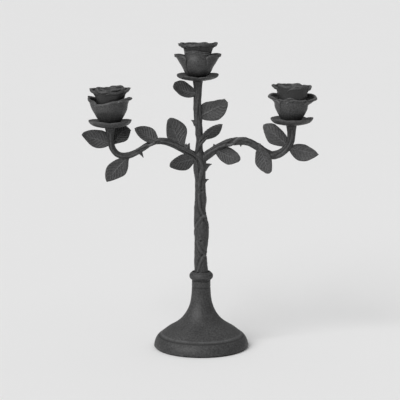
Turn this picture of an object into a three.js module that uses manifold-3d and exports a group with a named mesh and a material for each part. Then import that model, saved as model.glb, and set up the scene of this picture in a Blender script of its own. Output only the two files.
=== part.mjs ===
// A three-light candelabrum in matt black cast metal: a bell foot, a stem like a twisting branch,
// two side arms, thirteen leaves, and three roses that hold taper candles over petal-edged drip pans.
// Millimetres, +Z up. The origin is the centre of the foot, on the table; +X is the right-hand arm.
import * as THREE from 'three';
import { mergeVertices } from 'three/addons/utils/BufferGeometryUtils.js';
import Module from 'manifold-3d';

const wasm = await Module();
wasm.setup();

// ---------- driving dimensions ----------
const GAP = 0.3; // clearance between pieces that touch

const FOOT_RADIUS = 59;
const FELT_THICKNESS = 1.2;
const FELT_INNER_RADIUS = 54;
const FELT_OUTER_RADIUS = 57.5;
const RIM_BAND_TOP = { r: 53.4, z: 15.1 };
const NECK_RADIUS = 11.5;
const NECK_TOP = 84.2;
const CAVITY_ROOF = 33;
const BEAD_RADIUS = 15;
const BEAD_TOP = 95.6;
const STEM_SOCKET_FLOOR = 90;
const STEM_SOCKET_RADIUS = 9.6;

const BOLT_RADIUS = 4;
const BOLT_HOLE_RADIUS = BOLT_RADIUS + GAP;
const BOLT_TOP = 114;
const BOLT_HEAD_FLATS = 13;
const BOLT_HEAD_HEIGHT = 5.3;
const WASHER_RADIUS = 12;
const WASHER_THICKNESS = 1.6;

const STUD_RADIUS = 2.5;
const STUD_DEPTH = 8; // below the pan
const STUD_REACH = 9.2; // above the pan's underside
const STUD_HOLE_RADIUS = STUD_RADIUS + GAP;
const NUT_FLATS = 8;
const NUT_HEIGHT = 2.6;
const NUT_LOW = 0.1; // over the pan's underside
const NUT_RECESS_RADIUS = 5;

const PAN_RADIUS = 26.6;
const PAN_NOTCH = 4.2;
const PAN_FLOOR = 4;
const PETAL_CUP_ROOT = 10; // where the petals leave the pan
const PETAL_CUP_FLOOR = 17.5;
const PETAL_TIP_RADIUS = 27.6;
const RUFFLE_RADIUS = 24.6;
const CANDLE_RADIUS = 11;
const CANDLE_FLOOR = 21;
const MOUTH_DEPTH = 3; // of the candle's mouth under the ruffled rim

// Each cup: its axis and the height of its pan's underside, how far round the rose and the pan sit in
// degrees, and how high the pan's rim, the open petals and the ruffled rim stand over that underside.
const CUPS = [
  { name: 'left', x: -111.5, z: 275.3, turn: 24, panTurn: 40, panRise: 9, petalRise: 36.5, rimRise: 49.5 },
  { name: 'centre', x: -4.2, z: 332.9, turn: 0, panTurn: 0, panRise: 7, petalRise: 32, rimRise: 46 },
  { name: 'right', x: 110.4, z: 278.4, turn: -17, panTurn: 20, panRise: 8.6, petalRise: 36, rimRise: 50 },
];

// Branch routes as [x, y, z, radius], from root to tip.
const STEM_ROUTE = [
  [0, 0, 90.6, 8.6], [0, 0, 98, 8.4], [-0.8, 0, 107, 8], [-0.8, 0, 120, 7.8], [0.2, 0, 134, 8.5],
  [0.4, 0, 147, 9.1], [-0.6, 0, 160, 8.4], [-1.6, 0, 173, 7.2], [-0.7, 0, 186, 7.3], [-1.0, 0, 199, 6.6],
  [-1.1, 0, 211, 6.7], [-2.0, 0, 223, 7.6], [-1.8, 0, 233, 8], [-2.6, 0, 241, 6.6], [-2.6, 0, 249, 4.8],
  [-2.2, 0, 260, 4.2], [-2.6, 0, 270, 4.6], [-3.6, 0, 282, 4.7], [-4.7, 0, 296, 4.9], [-4.6, 0, 312, 4.8],
  [-4.3, 0, 324, 5.1], [-4.2, 0, 332.5, 6.3],
];
const ARM_LEFT_ROUTE = [
  [-1, 0, 234.5, 5], [-9, 0, 240.6, 5], [-17, 0, 245.6, 4.6], [-26, 0, 250.4, 4.2], [-35, 0, 254.8, 4.2],
  [-45, 0, 258.4, 4.4], [-54, 0, 258.6, 3.9], [-63, 0, 255.2, 3.4], [-72, 0, 249.6, 3.2],
  [-80, 0, 244.6, 3.1], [-88, 0, 241.2, 3.4], [-96, 0, 240.2, 3.7], [-103.5, 0, 243, 3.8],
  [-109, 0, 250.5, 3.9], [-111.3, 0, 260, 4.3], [-111.6, 0, 268, 5.2], [-111.5, 0, 274.9, 6.6],
];
const ARM_RIGHT_ROUTE = [
  [-1, 0, 234, 5.2], [5, 0, 239.4, 5.4], [14, 0, 246, 5.2], [23, 0, 252, 4.6], [33, 0, 256.6, 4.6],
  [43, 0, 258.4, 5], [53, 0, 258.4, 4.8], [62, 0, 255.6, 4.4], [70, 0, 251, 4.3], [78, 0, 244.9, 4.4],
  [86, 0, 241.2, 4.6], [94, 0, 242.4, 4.6], [102, 0, 247.2, 4.6], [108, 0, 254.5, 4.8],
  [110.2, 0, 264, 5], [110.4, 0, 271, 5.5], [110.4, 0, 278, 6.6],
];

// Thorns: root point, tip point and root radius, on the branch they grow from.
const STEM_THORNS = [
  [[3, 0, 226], [13.5, -1, 230.5], 3],
  [[2, 0, 207], [9.6, 1, 211], 2.6],
  [[-6, 0, 280], [-12.6, -1, 284.4], 2.4],
];
const ARM_LEFT_THORNS = [
  [[-13, 0, 245], [-14.8, 0, 256], 2.8],
  [[-73, 0, 248], [-71, 0, 238.2], 2.6],
];
const ARM_RIGHT_THORNS = [
  [[16, 0, 248], [15, 0, 254.2], 2.6],
  [[47, 0, 257], [47.4, 0, 251], 3.2],
];

const STEM = { route: STEM_ROUTE, thorns: STEM_THORNS, steps: 40, sides: 12 };
const ARM_LEFT = { route: ARM_LEFT_ROUTE, thorns: ARM_LEFT_THORNS, steps: 32, sides: 10 };
const ARM_RIGHT = { route: ARM_RIGHT_ROUTE, thorns: ARM_RIGHT_THORNS, steps: 32, sides: 10 };
const THORN_END = 0.5; // radius of a thorn's blunt point

// Leaves: stalk root and blade tip as [x, y, z], blade width, roll about its length in degrees,
// and how far the blade arches out of its plane towards the back.
const LEAVES = {
  leaf_left_1: { root: [-111, -1, 256], tip: [-146, -8, 267.6], width: 22, roll: 8, arch: 3 },
  leaf_left_2: { root: [-109, 4, 255], tip: [-91.4, 17, 274.6], width: 20, roll: -14, arch: -2 },
  leaf_left_3: { root: [-89.5, 0, 240], tip: [-115.8, -7, 209.1], width: 21.5, roll: -10, arch: 3 },
  leaf_left_4: { root: [-53, -1, 258.6], tip: [-81, -9, 273.4], width: 18.5, roll: 28, arch: 3 },
  leaf_left_5: { root: [-23.5, 0, 249.5], tip: [-38.3, -4, 287.6], width: 23, roll: 6, arch: 3 },
  leaf_left_6: { root: [-7, -3, 237], tip: [-39, -13, 229.2], width: 20, roll: -24, arch: 3 },
  leaf_top_1: { root: [-6, -2, 317], tip: [-34.1, -13, 327.2], width: 19, roll: 26, arch: 4 },
  leaf_top_2: { root: [-3, 0, 288.5], tip: [32.3, -6, 306.8], width: 23, roll: -6, arch: 3 },
  leaf_top_3: { root: [-1, -2, 259.5], tip: [25.2, -8, 279.2], width: 19, roll: 46, arch: 3 },
  leaf_right_1: { root: [17.5, -2, 248], tip: [48.2, -9, 236.3], width: 20, roll: -26, arch: 3 },
  leaf_right_2: { root: [71.8, -6.5, 252], tip: [83.4, -10, 219.2], width: 20.5, roll: 8, arch: 3 },
  leaf_right_3: { root: [107, 0, 252], tip: [76.4, 9, 277.6], width: 21.5, roll: 10, arch: -3 },
  leaf_right_4: { root: [108, -1, 250], tip: [143.7, -7, 241.4], width: 20, roll: -8, arch: 3 },
};
const STALK_SHARE = 0.16; // part of a leaf's length that is bare stalk
const STALK_RADIUS = 1.5;
const BLADE_THICKNESS = 2.2;
const BLADE_FOLD = 0.16; // depth of the fold at the midrib, as a share of the blade's half-width

// ---------- materials ----------
const castMetal = { color: 0x3b3b3c, roughness: 0.62, metalness: 0.35 };
const castLeaf = { color: 0x424243, roughness: 0.66, metalness: 0.3 };
const smoothMetal = { color: 0x363637, roughness: 0.52, metalness: 0.35 };
const zincSteel = { color: 0x9a9c9f, roughness: 0.35, metalness: 0.9 };
const felt = { color: 0x1c1c1d, roughness: 0.95, metalness: 0 };

// ---------- solids ----------

// Keeps a geometry's positions only, with its shared corners merged.
function merged(geometry) {
  const bare = geometry.clone();
  bare.deleteAttribute('normal');
  bare.deleteAttribute('uv');
  return mergeVertices(bare, 1e-4);
}

// The solid that a closed geometry encloses.
function solid(geometry) {
  const closed = merged(geometry);
  return new wasm.Manifold(new wasm.Mesh({
    numProp: 3,
    vertProperties: new Float32Array(closed.attributes.position.array),
    triVerts: new Uint32Array(closed.index.array),
  }));
}

function geometryOf(manifold) {
  const mesh = manifold.getMesh();
  const geometry = new THREE.BufferGeometry();
  geometry.setAttribute('position', new THREE.BufferAttribute(new Float32Array(mesh.vertProperties), 3));
  geometry.setIndex(new THREE.BufferAttribute(new Uint32Array(mesh.triVerts), 1));
  return geometry;
}

// Closed skin over a row of rings with equal point counts, each end closed by a fan to its centre.
function skin(rings) {
  const count = rings[0].length;
  const points = rings.flat();
  const faces = [];
  for (let j = 0; j < rings.length - 1; j += 1) {
    for (let i = 0; i < count; i += 1) {
      const a = j * count + i;
      const b = j * count + ((i + 1) % count);
      faces.push(a, b, b + count, a, b + count, a + count);
    }
  }
  const last = (rings.length - 1) * count;
  const centreOf = (ring) => ring.reduce((sum, p) => sum.add(p), new THREE.Vector3()).divideScalar(count);
  points.push(centreOf(rings[0]), centreOf(rings.at(-1)));
  for (let i = 0; i < count; i += 1) {
    const next = (i + 1) % count;
    faces.push(points.length - 2, next, i, points.length - 1, last + i, last + next);
  }
  const geometry = new THREE.BufferGeometry().setFromPoints(points);
  geometry.setIndex(faces);
  return volumeOf(geometry) < 0 ? flipped(geometry) : geometry;
}

// Six times the signed volume: negative when the faces point in.
function volumeOf(geometry) {
  const position = geometry.attributes.position;
  const corner = (k) => new THREE.Vector3().fromBufferAttribute(position, geometry.index.getX(k));
  let volume = 0;
  for (let k = 0; k < geometry.index.count; k += 3) {
    volume += corner(k).dot(corner(k + 1).cross(corner(k + 2)));
  }
  return volume;
}

function flipped(geometry) {
  const index = Array.from(geometry.index.array);
  for (let k = 0; k < index.length; k += 3) {
    [index[k], index[k + 1]] = [index[k + 1], index[k]];
  }
  geometry.setIndex(index);
  return geometry;
}

// Solid of revolution about Z from [radius, height] pairs that close on themselves or meet the axis.
function turned(profile, sides) {
  const points = profile.map(([r, z]) => new THREE.Vector2(r, z));
  return new THREE.LatheGeometry(points, sides).rotateX(Math.PI / 2);
}

function cylinder(radius, low, high, sides) {
  return new THREE.CylinderGeometry(radius, radius, high - low, sides).rotateX(Math.PI / 2)
    .translate(0, 0, (low + high) / 2);
}

function hexPrism(flats, low, high) {
  return cylinder(flats / Math.sqrt(3), low, high, 6);
}

// A branch: round sections carried along a smooth route, each grown by extra.
function branch(route, steps, sides, extra = 0) {
  const centres = route.map(([x, y, z]) => new THREE.Vector3(x, y, z));
  const curve = new THREE.CatmullRomCurve3(centres, false, 'centripetal');
  const girth = new THREE.CatmullRomCurve3(route.map((p) => new THREE.Vector3(p[3], 0, 0)));
  const across = new THREE.Vector3(0, 1, 0);
  const rings = [];
  for (let j = 0; j <= steps; j += 1) {
    const t = j / steps;
    const centre = curve.getPoint(t);
    const side = curve.getTangent(t).cross(across).normalize();
    const radius = girth.getPoint(t).x + extra;
    rings.push(Array.from({ length: sides }, (_, i) => {
      const angle = (2 * Math.PI * i) / sides;
      const point = centre.clone().addScaledVector(side, radius * Math.cos(angle));
      return point.addScaledVector(across, radius * Math.sin(angle));
    }));
  }
  return skin(rings);
}

// A pointed cone from root to tip, its end slightly blunt.
function thorn([root, tip, radius], extra) {
  const from = new THREE.Vector3(...root);
  const axis = new THREE.Vector3(...tip).sub(from);
  const length = axis.length() + extra;
  const turn = new THREE.Quaternion().setFromUnitVectors(new THREE.Vector3(0, 1, 0), axis.normalize());
  const cone = new THREE.CylinderGeometry(THORN_END + extra, radius + extra, length, 7);
  return cone.translate(0, length / 2, 0).applyQuaternion(turn).translate(from.x, from.y, from.z);
}

// A branch with its thorns. With extra over zero it is the same shape grown, used to cut its neighbours.
function thornyBranch({ route, thorns, steps, sides }, extra = 0) {
  const bare = solid(branch(route, steps, sides, extra));
  return thorns.reduce((sum, one) => sum.add(solid(thorn(one, extra))), bare);
}

// A leaf: a thin stalk that opens into an ovate, pointed blade, folded a little along its midrib.
function leaf({ root, tip, width, roll, arch }) {
  const stations = [0, 0.08, STALK_SHARE, 0.22, 0.32, 0.45, 0.6, 0.74, 0.87, 0.95];
  const start = new THREE.Vector3(...root);
  const along = new THREE.Vector3(...tip).sub(start);
  const length = along.length();
  along.normalize();
  const side = new THREE.Vector3(0, 1, 0).cross(along).normalize();
  side.applyAxisAngle(along, THREE.MathUtils.degToRad(roll));
  const normal = along.clone().cross(side).normalize();
  const section = (t, half, thick) => {
    const fold = BLADE_FOLD * Math.max(0, half - STALK_RADIUS);
    const lift = arch * Math.sin(Math.PI * t);
    const centre = start.clone().addScaledVector(along, length * t).addScaledVector(normal, lift);
    const outline = [[1, 0.45], [0.5, 0.8], [0, 1], [-0.5, 0.8], [-1, 0.45], [-1, -0.45], [-0.5, -0.8],
      [0, -1], [0.5, -0.8], [1, -0.45]];
    return outline.map(([a, b]) => centre.clone().addScaledVector(side, half * a)
      .addScaledVector(normal, thick * b - fold * Math.abs(a)));
  };
  const rings = stations.map((t) => {
    const blade = Math.max(0, (t - STALK_SHARE) / (1 - STALK_SHARE));
    return section(t, Math.max(STALK_RADIUS, (width / 2) * ovate(blade)), BLADE_THICKNESS / 2);
  });
  return skin([...rings, section(1, STALK_RADIUS / 3, BLADE_THICKNESS / 5)]);
}

// Half-width of an ovate blade, 0 to 1, at b from its base to its tip.
function ovate(b) {
  return 2.28 * Math.pow(b, 0.5) * Math.pow(1 - b, 0.72);
}

// A bowl of petals: profile(turn) gives the section at one angle as [radius, height] pairs, from the
// middle of its underside out over the rim and back to the middle of its inside.
function petalBowl(profile, sides) {
  const count = profile(0).length;
  const rings = Array.from({ length: count }, (_, j) => Array.from({ length: sides }, (_, i) => {
    const turn = (2 * Math.PI * i) / sides;
    const [r, z] = profile(turn)[j];
    return new THREE.Vector3(r * Math.cos(turn), r * Math.sin(turn), z);
  }));
  return skin(rings);
}

// 0 between two petals and 1 along a petal's middle, for a whorl with its first petal at turn zero.
function petalWave(turn, petals) {
  return 0.5 + 0.5 * Math.cos(petals * turn);
}

// Drip pan: five petals under the rose, with a notch to the front between two of them.
function panProfile(turn, rise) {
  const dip = 1 - Math.pow(petalWave(turn - Math.PI / 2, 5), 0.45);
  const rim = PAN_RADIUS - PAN_NOTCH * dip;
  const edge = rise - 1.6 * dip;
  return [
    [7, 0], [15, 0.9], [rim - 4.5, edge - 4.6], [rim, edge - 0.9], [rim - 0.8, edge + 0.5],
    [rim - 5, edge - 2], [15, PAN_FLOOR + 0.3], [9, PAN_FLOOR],
  ];
}

// Lower whorl of the rose: four broad petals whose tips turn out and down.
function petalCupProfile(turn, rise) {
  const dip = 1 - Math.pow(petalWave(turn, 4), 0.8);
  const rim = PETAL_TIP_RADIUS - 5.2 * dip;
  const edge = rise - 4.4 * dip;
  const up = (share) => PETAL_CUP_ROOT + (rise - PETAL_CUP_ROOT) * share;
  return [
    [8, PAN_FLOOR + GAP], [12, PAN_FLOOR + GAP + 0.4], [13.9, PETAL_CUP_ROOT],
    [17.2, up(0.27)], [19.8, up(0.5)], [21.6, up(0.68)], [rim, edge - 1.2],
    [rim - 1, edge + 0.6], [19.2, up(0.74)], [17.2, up(0.55)],
    [16, PETAL_CUP_FLOOR + 0.6], [15, PETAL_CUP_FLOOR],
  ];
}

// Upper whorl of the rose, with its ruffled rim. Its middle is bored for the candle.
function candleCupProfile(turn, rise) {
  const dip = 1 - petalWave(turn, 6);
  const rim = RUFFLE_RADIUS - 4 * dip;
  const edge = rise - 2.4 * dip;
  const low = PETAL_CUP_FLOOR + GAP;
  return [
    [12, low], [14.8, low], [15.2, 24], [15.6, rise - 14], [17.8, rise - 8],
    [rim, edge - 1], [rim - 1.2, edge + 0.5], [16, rise - MOUTH_DEPTH + 0.4], [8, rise - MOUTH_DEPTH],
  ];
}

// ---------- pieces ----------
const candelabrum = new THREE.Group();

function place(name, geometry, finish, parent = candelabrum) {
  const piece = new THREE.Mesh(geometry, new THREE.MeshStandardMaterial(finish));
  piece.name = name;
  parent.add(piece);
  return piece;
}

// A flat ring between two radii and two heights, as a profile that closes on itself.
function ringProfile(inner, outer, low, high) {
  return [[inner, low], [outer, low], [outer, high], [inner, high], [inner, low]];
}

// Foot: hollow bell with a convex rim band, a crease, a swept dome and a slim neck.
function bellProfile() {
  const bottom = FELT_THICKNESS + GAP;
  const band = new THREE.QuadraticBezierCurve(
    new THREE.Vector2(FOOT_RADIUS, bottom),
    new THREE.Vector2(FOOT_RADIUS - 0.8, 10),
    new THREE.Vector2(RIM_BAND_TOP.r, RIM_BAND_TOP.z),
  );
  const dome = new THREE.SplineCurve([
    [52.4, 15.4], [48.4, 18.6], [42.6, 23.2], [34, 28.4], [26.8, 33.8], [19, 43.6], [14.4, 53.8],
    [12.4, 64.2], [11.7, 74], [NECK_RADIUS, NECK_TOP],
  ].map(([r, z]) => new THREE.Vector2(r, z)));
  const outside = [...band.getPoints(3), ...dome.getPoints(10)].map((p) => [p.x, p.y]);
  const cavity = [
    [BOLT_HOLE_RADIUS, CAVITY_ROOF], [18, CAVITY_ROOF], [28, 28], [37, 22.6], [43.5, 17.8],
    [48.5, 13], [52.3, 7.5], [53.5, bottom],
  ];
  return [...cavity, ...outside, [BOLT_HOLE_RADIUS, NECK_TOP], cavity[0]];
}

// Collar: the round bead over the neck, socketed on top for the stem and bored for the tie bolt.
function collarProfile() {
  const low = NECK_TOP + GAP;
  const waist = NECK_RADIUS - 0.2;
  const bead = Array.from({ length: 8 }, (_, i) => {
    const t = i / 7;
    return [waist + (BEAD_RADIUS - waist) * Math.sin(Math.PI * t), low + 1 + (BEAD_TOP - low - 2) * t];
  });
  return [
    [BOLT_HOLE_RADIUS, low], [NECK_RADIUS + 0.3, low], ...bead, [NECK_RADIUS - 0.4, BEAD_TOP],
    [STEM_SOCKET_RADIUS, BEAD_TOP], [STEM_SOCKET_RADIUS, STEM_SOCKET_FLOOR],
    [BOLT_HOLE_RADIUS, STEM_SOCKET_FLOOR], [BOLT_HOLE_RADIUS, low],
  ];
}

place('base_felt', turned(ringProfile(FELT_INNER_RADIUS, FELT_OUTER_RADIUS, 0, FELT_THICKNESS), 36), felt);
place('base_bell', turned(bellProfile(), 32), castMetal);
place('neck_collar', turned(collarProfile(), 26), castMetal);

// Tie bolt: up through the washer, the foot and the collar into the stem.
const washerTop = CAVITY_ROOF - GAP;
const washerLow = washerTop - WASHER_THICKNESS;
const headTop = washerLow - GAP;
const washerProfile = ringProfile(BOLT_HOLE_RADIUS, WASHER_RADIUS, washerLow, washerTop);
place('tie_washer', turned(washerProfile, 24), zincSteel);
const boltShank = solid(cylinder(BOLT_RADIUS, headTop - 1, BOLT_TOP, 12));
const boltHead = solid(hexPrism(BOLT_HEAD_FLATS, headTop - BOLT_HEAD_HEIGHT, headTop));
place('tie_bolt', geometryOf(boltShank.add(boltHead)), zincSteel);

// Branches: the stem stands alone, and each arm is cut back to it.
function studHole(cupName) {
  const { x, z } = CUPS.find((cup) => cup.name === cupName);
  return solid(cylinder(STUD_HOLE_RADIUS, z - STUD_DEPTH - GAP, z + 1, 12).translate(x, 0, 0));
}

const boltHole = solid(cylinder(BOLT_HOLE_RADIUS, STEM_SOCKET_FLOOR - 5, BOLT_TOP + GAP, 12));
const stemCutter = thornyBranch(STEM, GAP);
const armLeftCutter = thornyBranch(ARM_LEFT, GAP);
const armRightCutter = thornyBranch(ARM_RIGHT, GAP);
const stem = thornyBranch(STEM).subtract(boltHole).subtract(studHole('centre'));
const armLeft = thornyBranch(ARM_LEFT).subtract(stemCutter).subtract(studHole('left'));
const armRight = thornyBranch(ARM_RIGHT).subtract(stemCutter).subtract(armLeftCutter)
  .subtract(studHole('right'));
place('main_stem', geometryOf(stem), castMetal);
place('arm_left', geometryOf(armLeft), castMetal);
place('arm_right', geometryOf(armRight), castMetal);

// Leaves: each is brazed on where its stalk meets the branch.
for (const [name, shape] of Object.entries(LEAVES)) {
  const trimmed = solid(leaf(shape)).subtract(stemCutter).subtract(armLeftCutter).subtract(armRightCutter);
  place(name, geometryOf(trimmed), castLeaf);
}

// Roses: each screws down on a stud through its drip pan, which a thin nut keeps on the stud.
const bowl = (profile, rise, sides) => solid(petalBowl((turn) => profile(turn, rise), sides));
const studBore = solid(cylinder(STUD_HOLE_RADIUS, -1, STUD_REACH + GAP, 12));
const nutRecess = solid(cylinder(NUT_RECESS_RADIUS, -1, NUT_LOW + NUT_HEIGHT + GAP, 24));
const studGeometry = cylinder(STUD_RADIUS, -STUD_DEPTH, STUD_REACH, 12);
const nutBlank = solid(hexPrism(NUT_FLATS, NUT_LOW, NUT_LOW + NUT_HEIGHT));
const nutGeometry = geometryOf(nutBlank.subtract(studBore));
for (const { name, x, z, turn, panTurn, panRise, petalRise, rimRise } of CUPS) {
  const candleBore = solid(cylinder(CANDLE_RADIUS, CANDLE_FLOOR, rimRise + 10, 20));
  const pan = bowl(panProfile, panRise, 30).subtract(studBore).subtract(nutRecess);
  const petalCup = bowl(petalCupProfile, petalRise, 28).subtract(studBore);
  const candleCup = bowl(candleCupProfile, rimRise, 30).subtract(candleBore);
  const panGroup = new THREE.Group();
  panGroup.position.set(x, 0, z);
  panGroup.rotation.z = THREE.MathUtils.degToRad(panTurn);
  place(`drip_pan_${name}`, geometryOf(pan), castMetal, panGroup);
  const rose = new THREE.Group();
  rose.position.set(x, 0, z);
  rose.rotation.z = THREE.MathUtils.degToRad(turn);
  place(`petal_cup_${name}`, geometryOf(petalCup), smoothMetal, rose);
  place(`candle_cup_${name}`, geometryOf(candleCup), smoothMetal, rose);
  place(`cup_stud_${name}`, studGeometry, zincSteel, rose);
  place(`jam_nut_${name}`, nutGeometry, zincSteel, rose);
  candelabrum.add(panGroup, rose);
}

export default candelabrum;
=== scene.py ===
"""Looks of a three-light candelabrum with roses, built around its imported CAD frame.

Every piece is a surface worked out with numpy. Lengths inside the shape functions are millimetres in the
frame's axes (+X to the right-hand arm, +Y to the back, +Z up); make_piece turns them into metres.
"""
import math

import bpy
import numpy as np
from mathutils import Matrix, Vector


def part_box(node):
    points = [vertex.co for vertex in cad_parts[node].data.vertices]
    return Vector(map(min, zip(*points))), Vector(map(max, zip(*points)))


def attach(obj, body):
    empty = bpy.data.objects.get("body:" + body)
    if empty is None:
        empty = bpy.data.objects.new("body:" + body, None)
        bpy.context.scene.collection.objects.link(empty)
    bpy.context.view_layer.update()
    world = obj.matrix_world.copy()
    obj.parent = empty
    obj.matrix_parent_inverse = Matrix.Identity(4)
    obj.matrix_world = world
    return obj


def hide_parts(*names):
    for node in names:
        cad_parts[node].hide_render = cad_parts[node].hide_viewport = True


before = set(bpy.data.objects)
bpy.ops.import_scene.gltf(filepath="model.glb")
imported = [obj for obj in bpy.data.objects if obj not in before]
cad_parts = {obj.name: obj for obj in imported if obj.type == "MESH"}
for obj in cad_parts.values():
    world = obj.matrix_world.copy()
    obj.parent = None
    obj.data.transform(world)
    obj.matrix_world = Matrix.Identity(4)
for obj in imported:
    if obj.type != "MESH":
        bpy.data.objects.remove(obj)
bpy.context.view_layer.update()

bl_info = {
    "name": "Rose candelabrum",
    "version": (1, 0, 0),
    "blender": (4, 5, 0),
    "location": "3D View > Sidebar > Candelabrum",
    "description": "Builds the castings, leaves and roses of a three-light candelabrum on its CAD frame",
    "category": "Add Mesh",
}

MM = 0.001
FRONT = np.array([0.0, -1.0, 0.0])
CUP_NAMES = ("left", "centre", "right")

# Radii of the tie bolt's hole and of the studs' holes, and how sharp an edge has to be, in degrees, to stay
# an edge on castings, drip pans and steel.
TIE_HOLE = 4.3
STUD_HOLE = 2.8
CAST_EDGE = 50
PAN_EDGE = 60
STEEL_EDGE = 30

# ---------------------------------------------------------------------------------------------------
# Curves and closed skins
# ---------------------------------------------------------------------------------------------------


def spline(knots, values, at):
    """Cubic through values at knots, with slopes taken from the neighbouring points."""
    knots = np.asarray(knots, float)
    values = np.asarray(values, float)
    at = np.asarray(at, float)
    slopes = np.gradient(values, knots, axis=0)
    i = np.clip(np.searchsorted(knots, at, side="right") - 1, 0, len(knots) - 2)
    span = knots[i + 1] - knots[i]
    t = np.clip((at - knots[i]) / span, 0.0, 1.0)
    spare = (1,) * (values.ndim - 1)
    t, span = t.reshape(t.shape + spare), span.reshape(span.shape + spare)
    start = (2 * t**3 - 3 * t**2 + 1) * values[i] + (t**3 - 2 * t**2 + t) * span * slopes[i]
    end = (3 * t**2 - 2 * t**3) * values[i + 1] + (t**3 - t**2) * span * slopes[i + 1]
    return start + end


def smooth(t):
    """0 below 0, 1 above 1 and an even S between."""
    t = np.clip(t, 0.0, 1.0)
    return t * t * (3 - 2 * t)


def hump(distance, width):
    """A rounded ridge: 1 at no distance, fading over about width."""
    return np.exp(-((distance / width) ** 2))


def unit(vectors):
    """Vectors brought to length 1."""
    return vectors / np.maximum(np.linalg.norm(vectors, axis=-1, keepdims=True), 1e-9)


def skin(rings, ends):
    """Points, quads and triangles over rings[row, column]: rows run along the body and columns round it.
    ends says how the row ends close: fan to the end ring's centre, strip across a flattened ring,
    whose column i faces column -i, or loop, which joins the last ring to the first."""
    rows, columns = rings.shape[:2]
    index = np.arange(rows * columns).reshape(rows, columns)
    low, high = (index, np.roll(index, -1, 0)) if ends == "loop" else (index[:-1], index[1:])
    quads = [np.stack([low, np.roll(low, -1, 1), np.roll(high, -1, 1), high], -1).reshape(-1, 4)]
    triangles = [np.zeros((0, 3), int)]
    points = rings.reshape(-1, 3)
    if ends == "fan":
        for ring, tip in ((index[0], rows * columns), (index[-1][::-1], rows * columns + 1)):
            triangles.append(np.stack([np.full(columns, tip), np.roll(ring, -1), ring], -1))
        points = np.vstack([points, rings[[0, -1]].mean(1)])
    if ends == "strip":
        half = columns // 2
        i = np.arange(1, half - 1)
        for ring, step in ((index[0], 1), (index[-1], -1)):
            facing = np.stack([ring[columns - i], ring[columns - i - 1], ring[i + 1], ring[i]], -1)
            quads.append(facing[:, ::step])
            tips = np.array([[ring[0], ring[-1], ring[1]], [ring[half - 1], ring[half + 1], ring[half]]])
            triangles.append(tips[:, ::step])
    quads, triangles = np.vstack(quads), np.vstack(triangles)
    if signed_volume(points, quads, triangles) < 0:
        quads, triangles = quads[:, ::-1], triangles[:, ::-1]
    return points, quads, triangles


def signed_volume(points, quads, triangles):
    """Six times the volume inside the faces, negative when they point in."""
    corners = np.vstack([quads[:, [0, 1, 2]], quads[:, [0, 2, 3]], triangles])
    a, b, c = (points[corners[:, k]] for k in range(3))
    return np.einsum("ij,ij->", a, np.cross(b, c))


def shell(rings, ends="fan", wear_and_shading=None):
    """A closed skin with a mark for its paint: 1 on raised detail, paler as rubbed paint and painted
    highlights, 0 in hollows and other places where shade is painted, and 0.5 between.
    """
    points, quads, triangles = skin(rings, ends)
    values = np.full(len(points), 0.5)
    if wear_and_shading is not None:
        values[: wear_and_shading.size] = np.clip(wear_and_shading, 0.0, 1.0).reshape(-1)
    return points, quads, triangles, values


def revolved(profile, columns):
    """Rings of a profile of (radius, height) pairs turned once round the Z axis."""
    profile = np.asarray(profile, float)
    turn = np.linspace(0, 2 * np.pi, columns, endpoint=False)
    return around(profile[:, :1] + 0 * turn, profile[:, 1], turn)


def around(radius, heights, turn):
    """Rings of a body given by its radius at each height and turn."""
    heights = heights[:, None] + 0 * turn
    return np.stack([radius * np.cos(turn), radius * np.sin(turn), heights], -1)


def sheet_rings(middle, thickness, rows, columns):
    """Rings round a sheet with two faces and a rounded edge. middle(v, u) is its middle surface, v from 0
    at the root to 1 at the rim and u from -1 to 1 across, and thickness(v, u) is half its thickness. Ring
    angle a gives u = cos(a) and stands off the middle along its normal by thickness times tanh(4 sin(a)).
    Rows draw together towards the rim: row r of 0 to 1 lies at v = 0.4 r + 0.6 sin(90 degrees x r)."""
    row = np.linspace(0, 1, rows)
    turn = np.linspace(0, 2 * np.pi, columns, endpoint=False)
    v, a = np.meshgrid(0.4 * row + 0.6 * np.sin(np.pi / 2 * row), turn, indexing="ij")
    u = np.cos(a)
    step = 1e-3
    along = middle(v + step, u) - middle(v - step, u)
    across = middle(v, u + step) - middle(v, u - step)
    stand = thickness(v, u) * np.tanh(4 * np.sin(a))
    return middle(v, u) + unit(np.cross(across, along)) * stand[..., None], v, u


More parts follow.
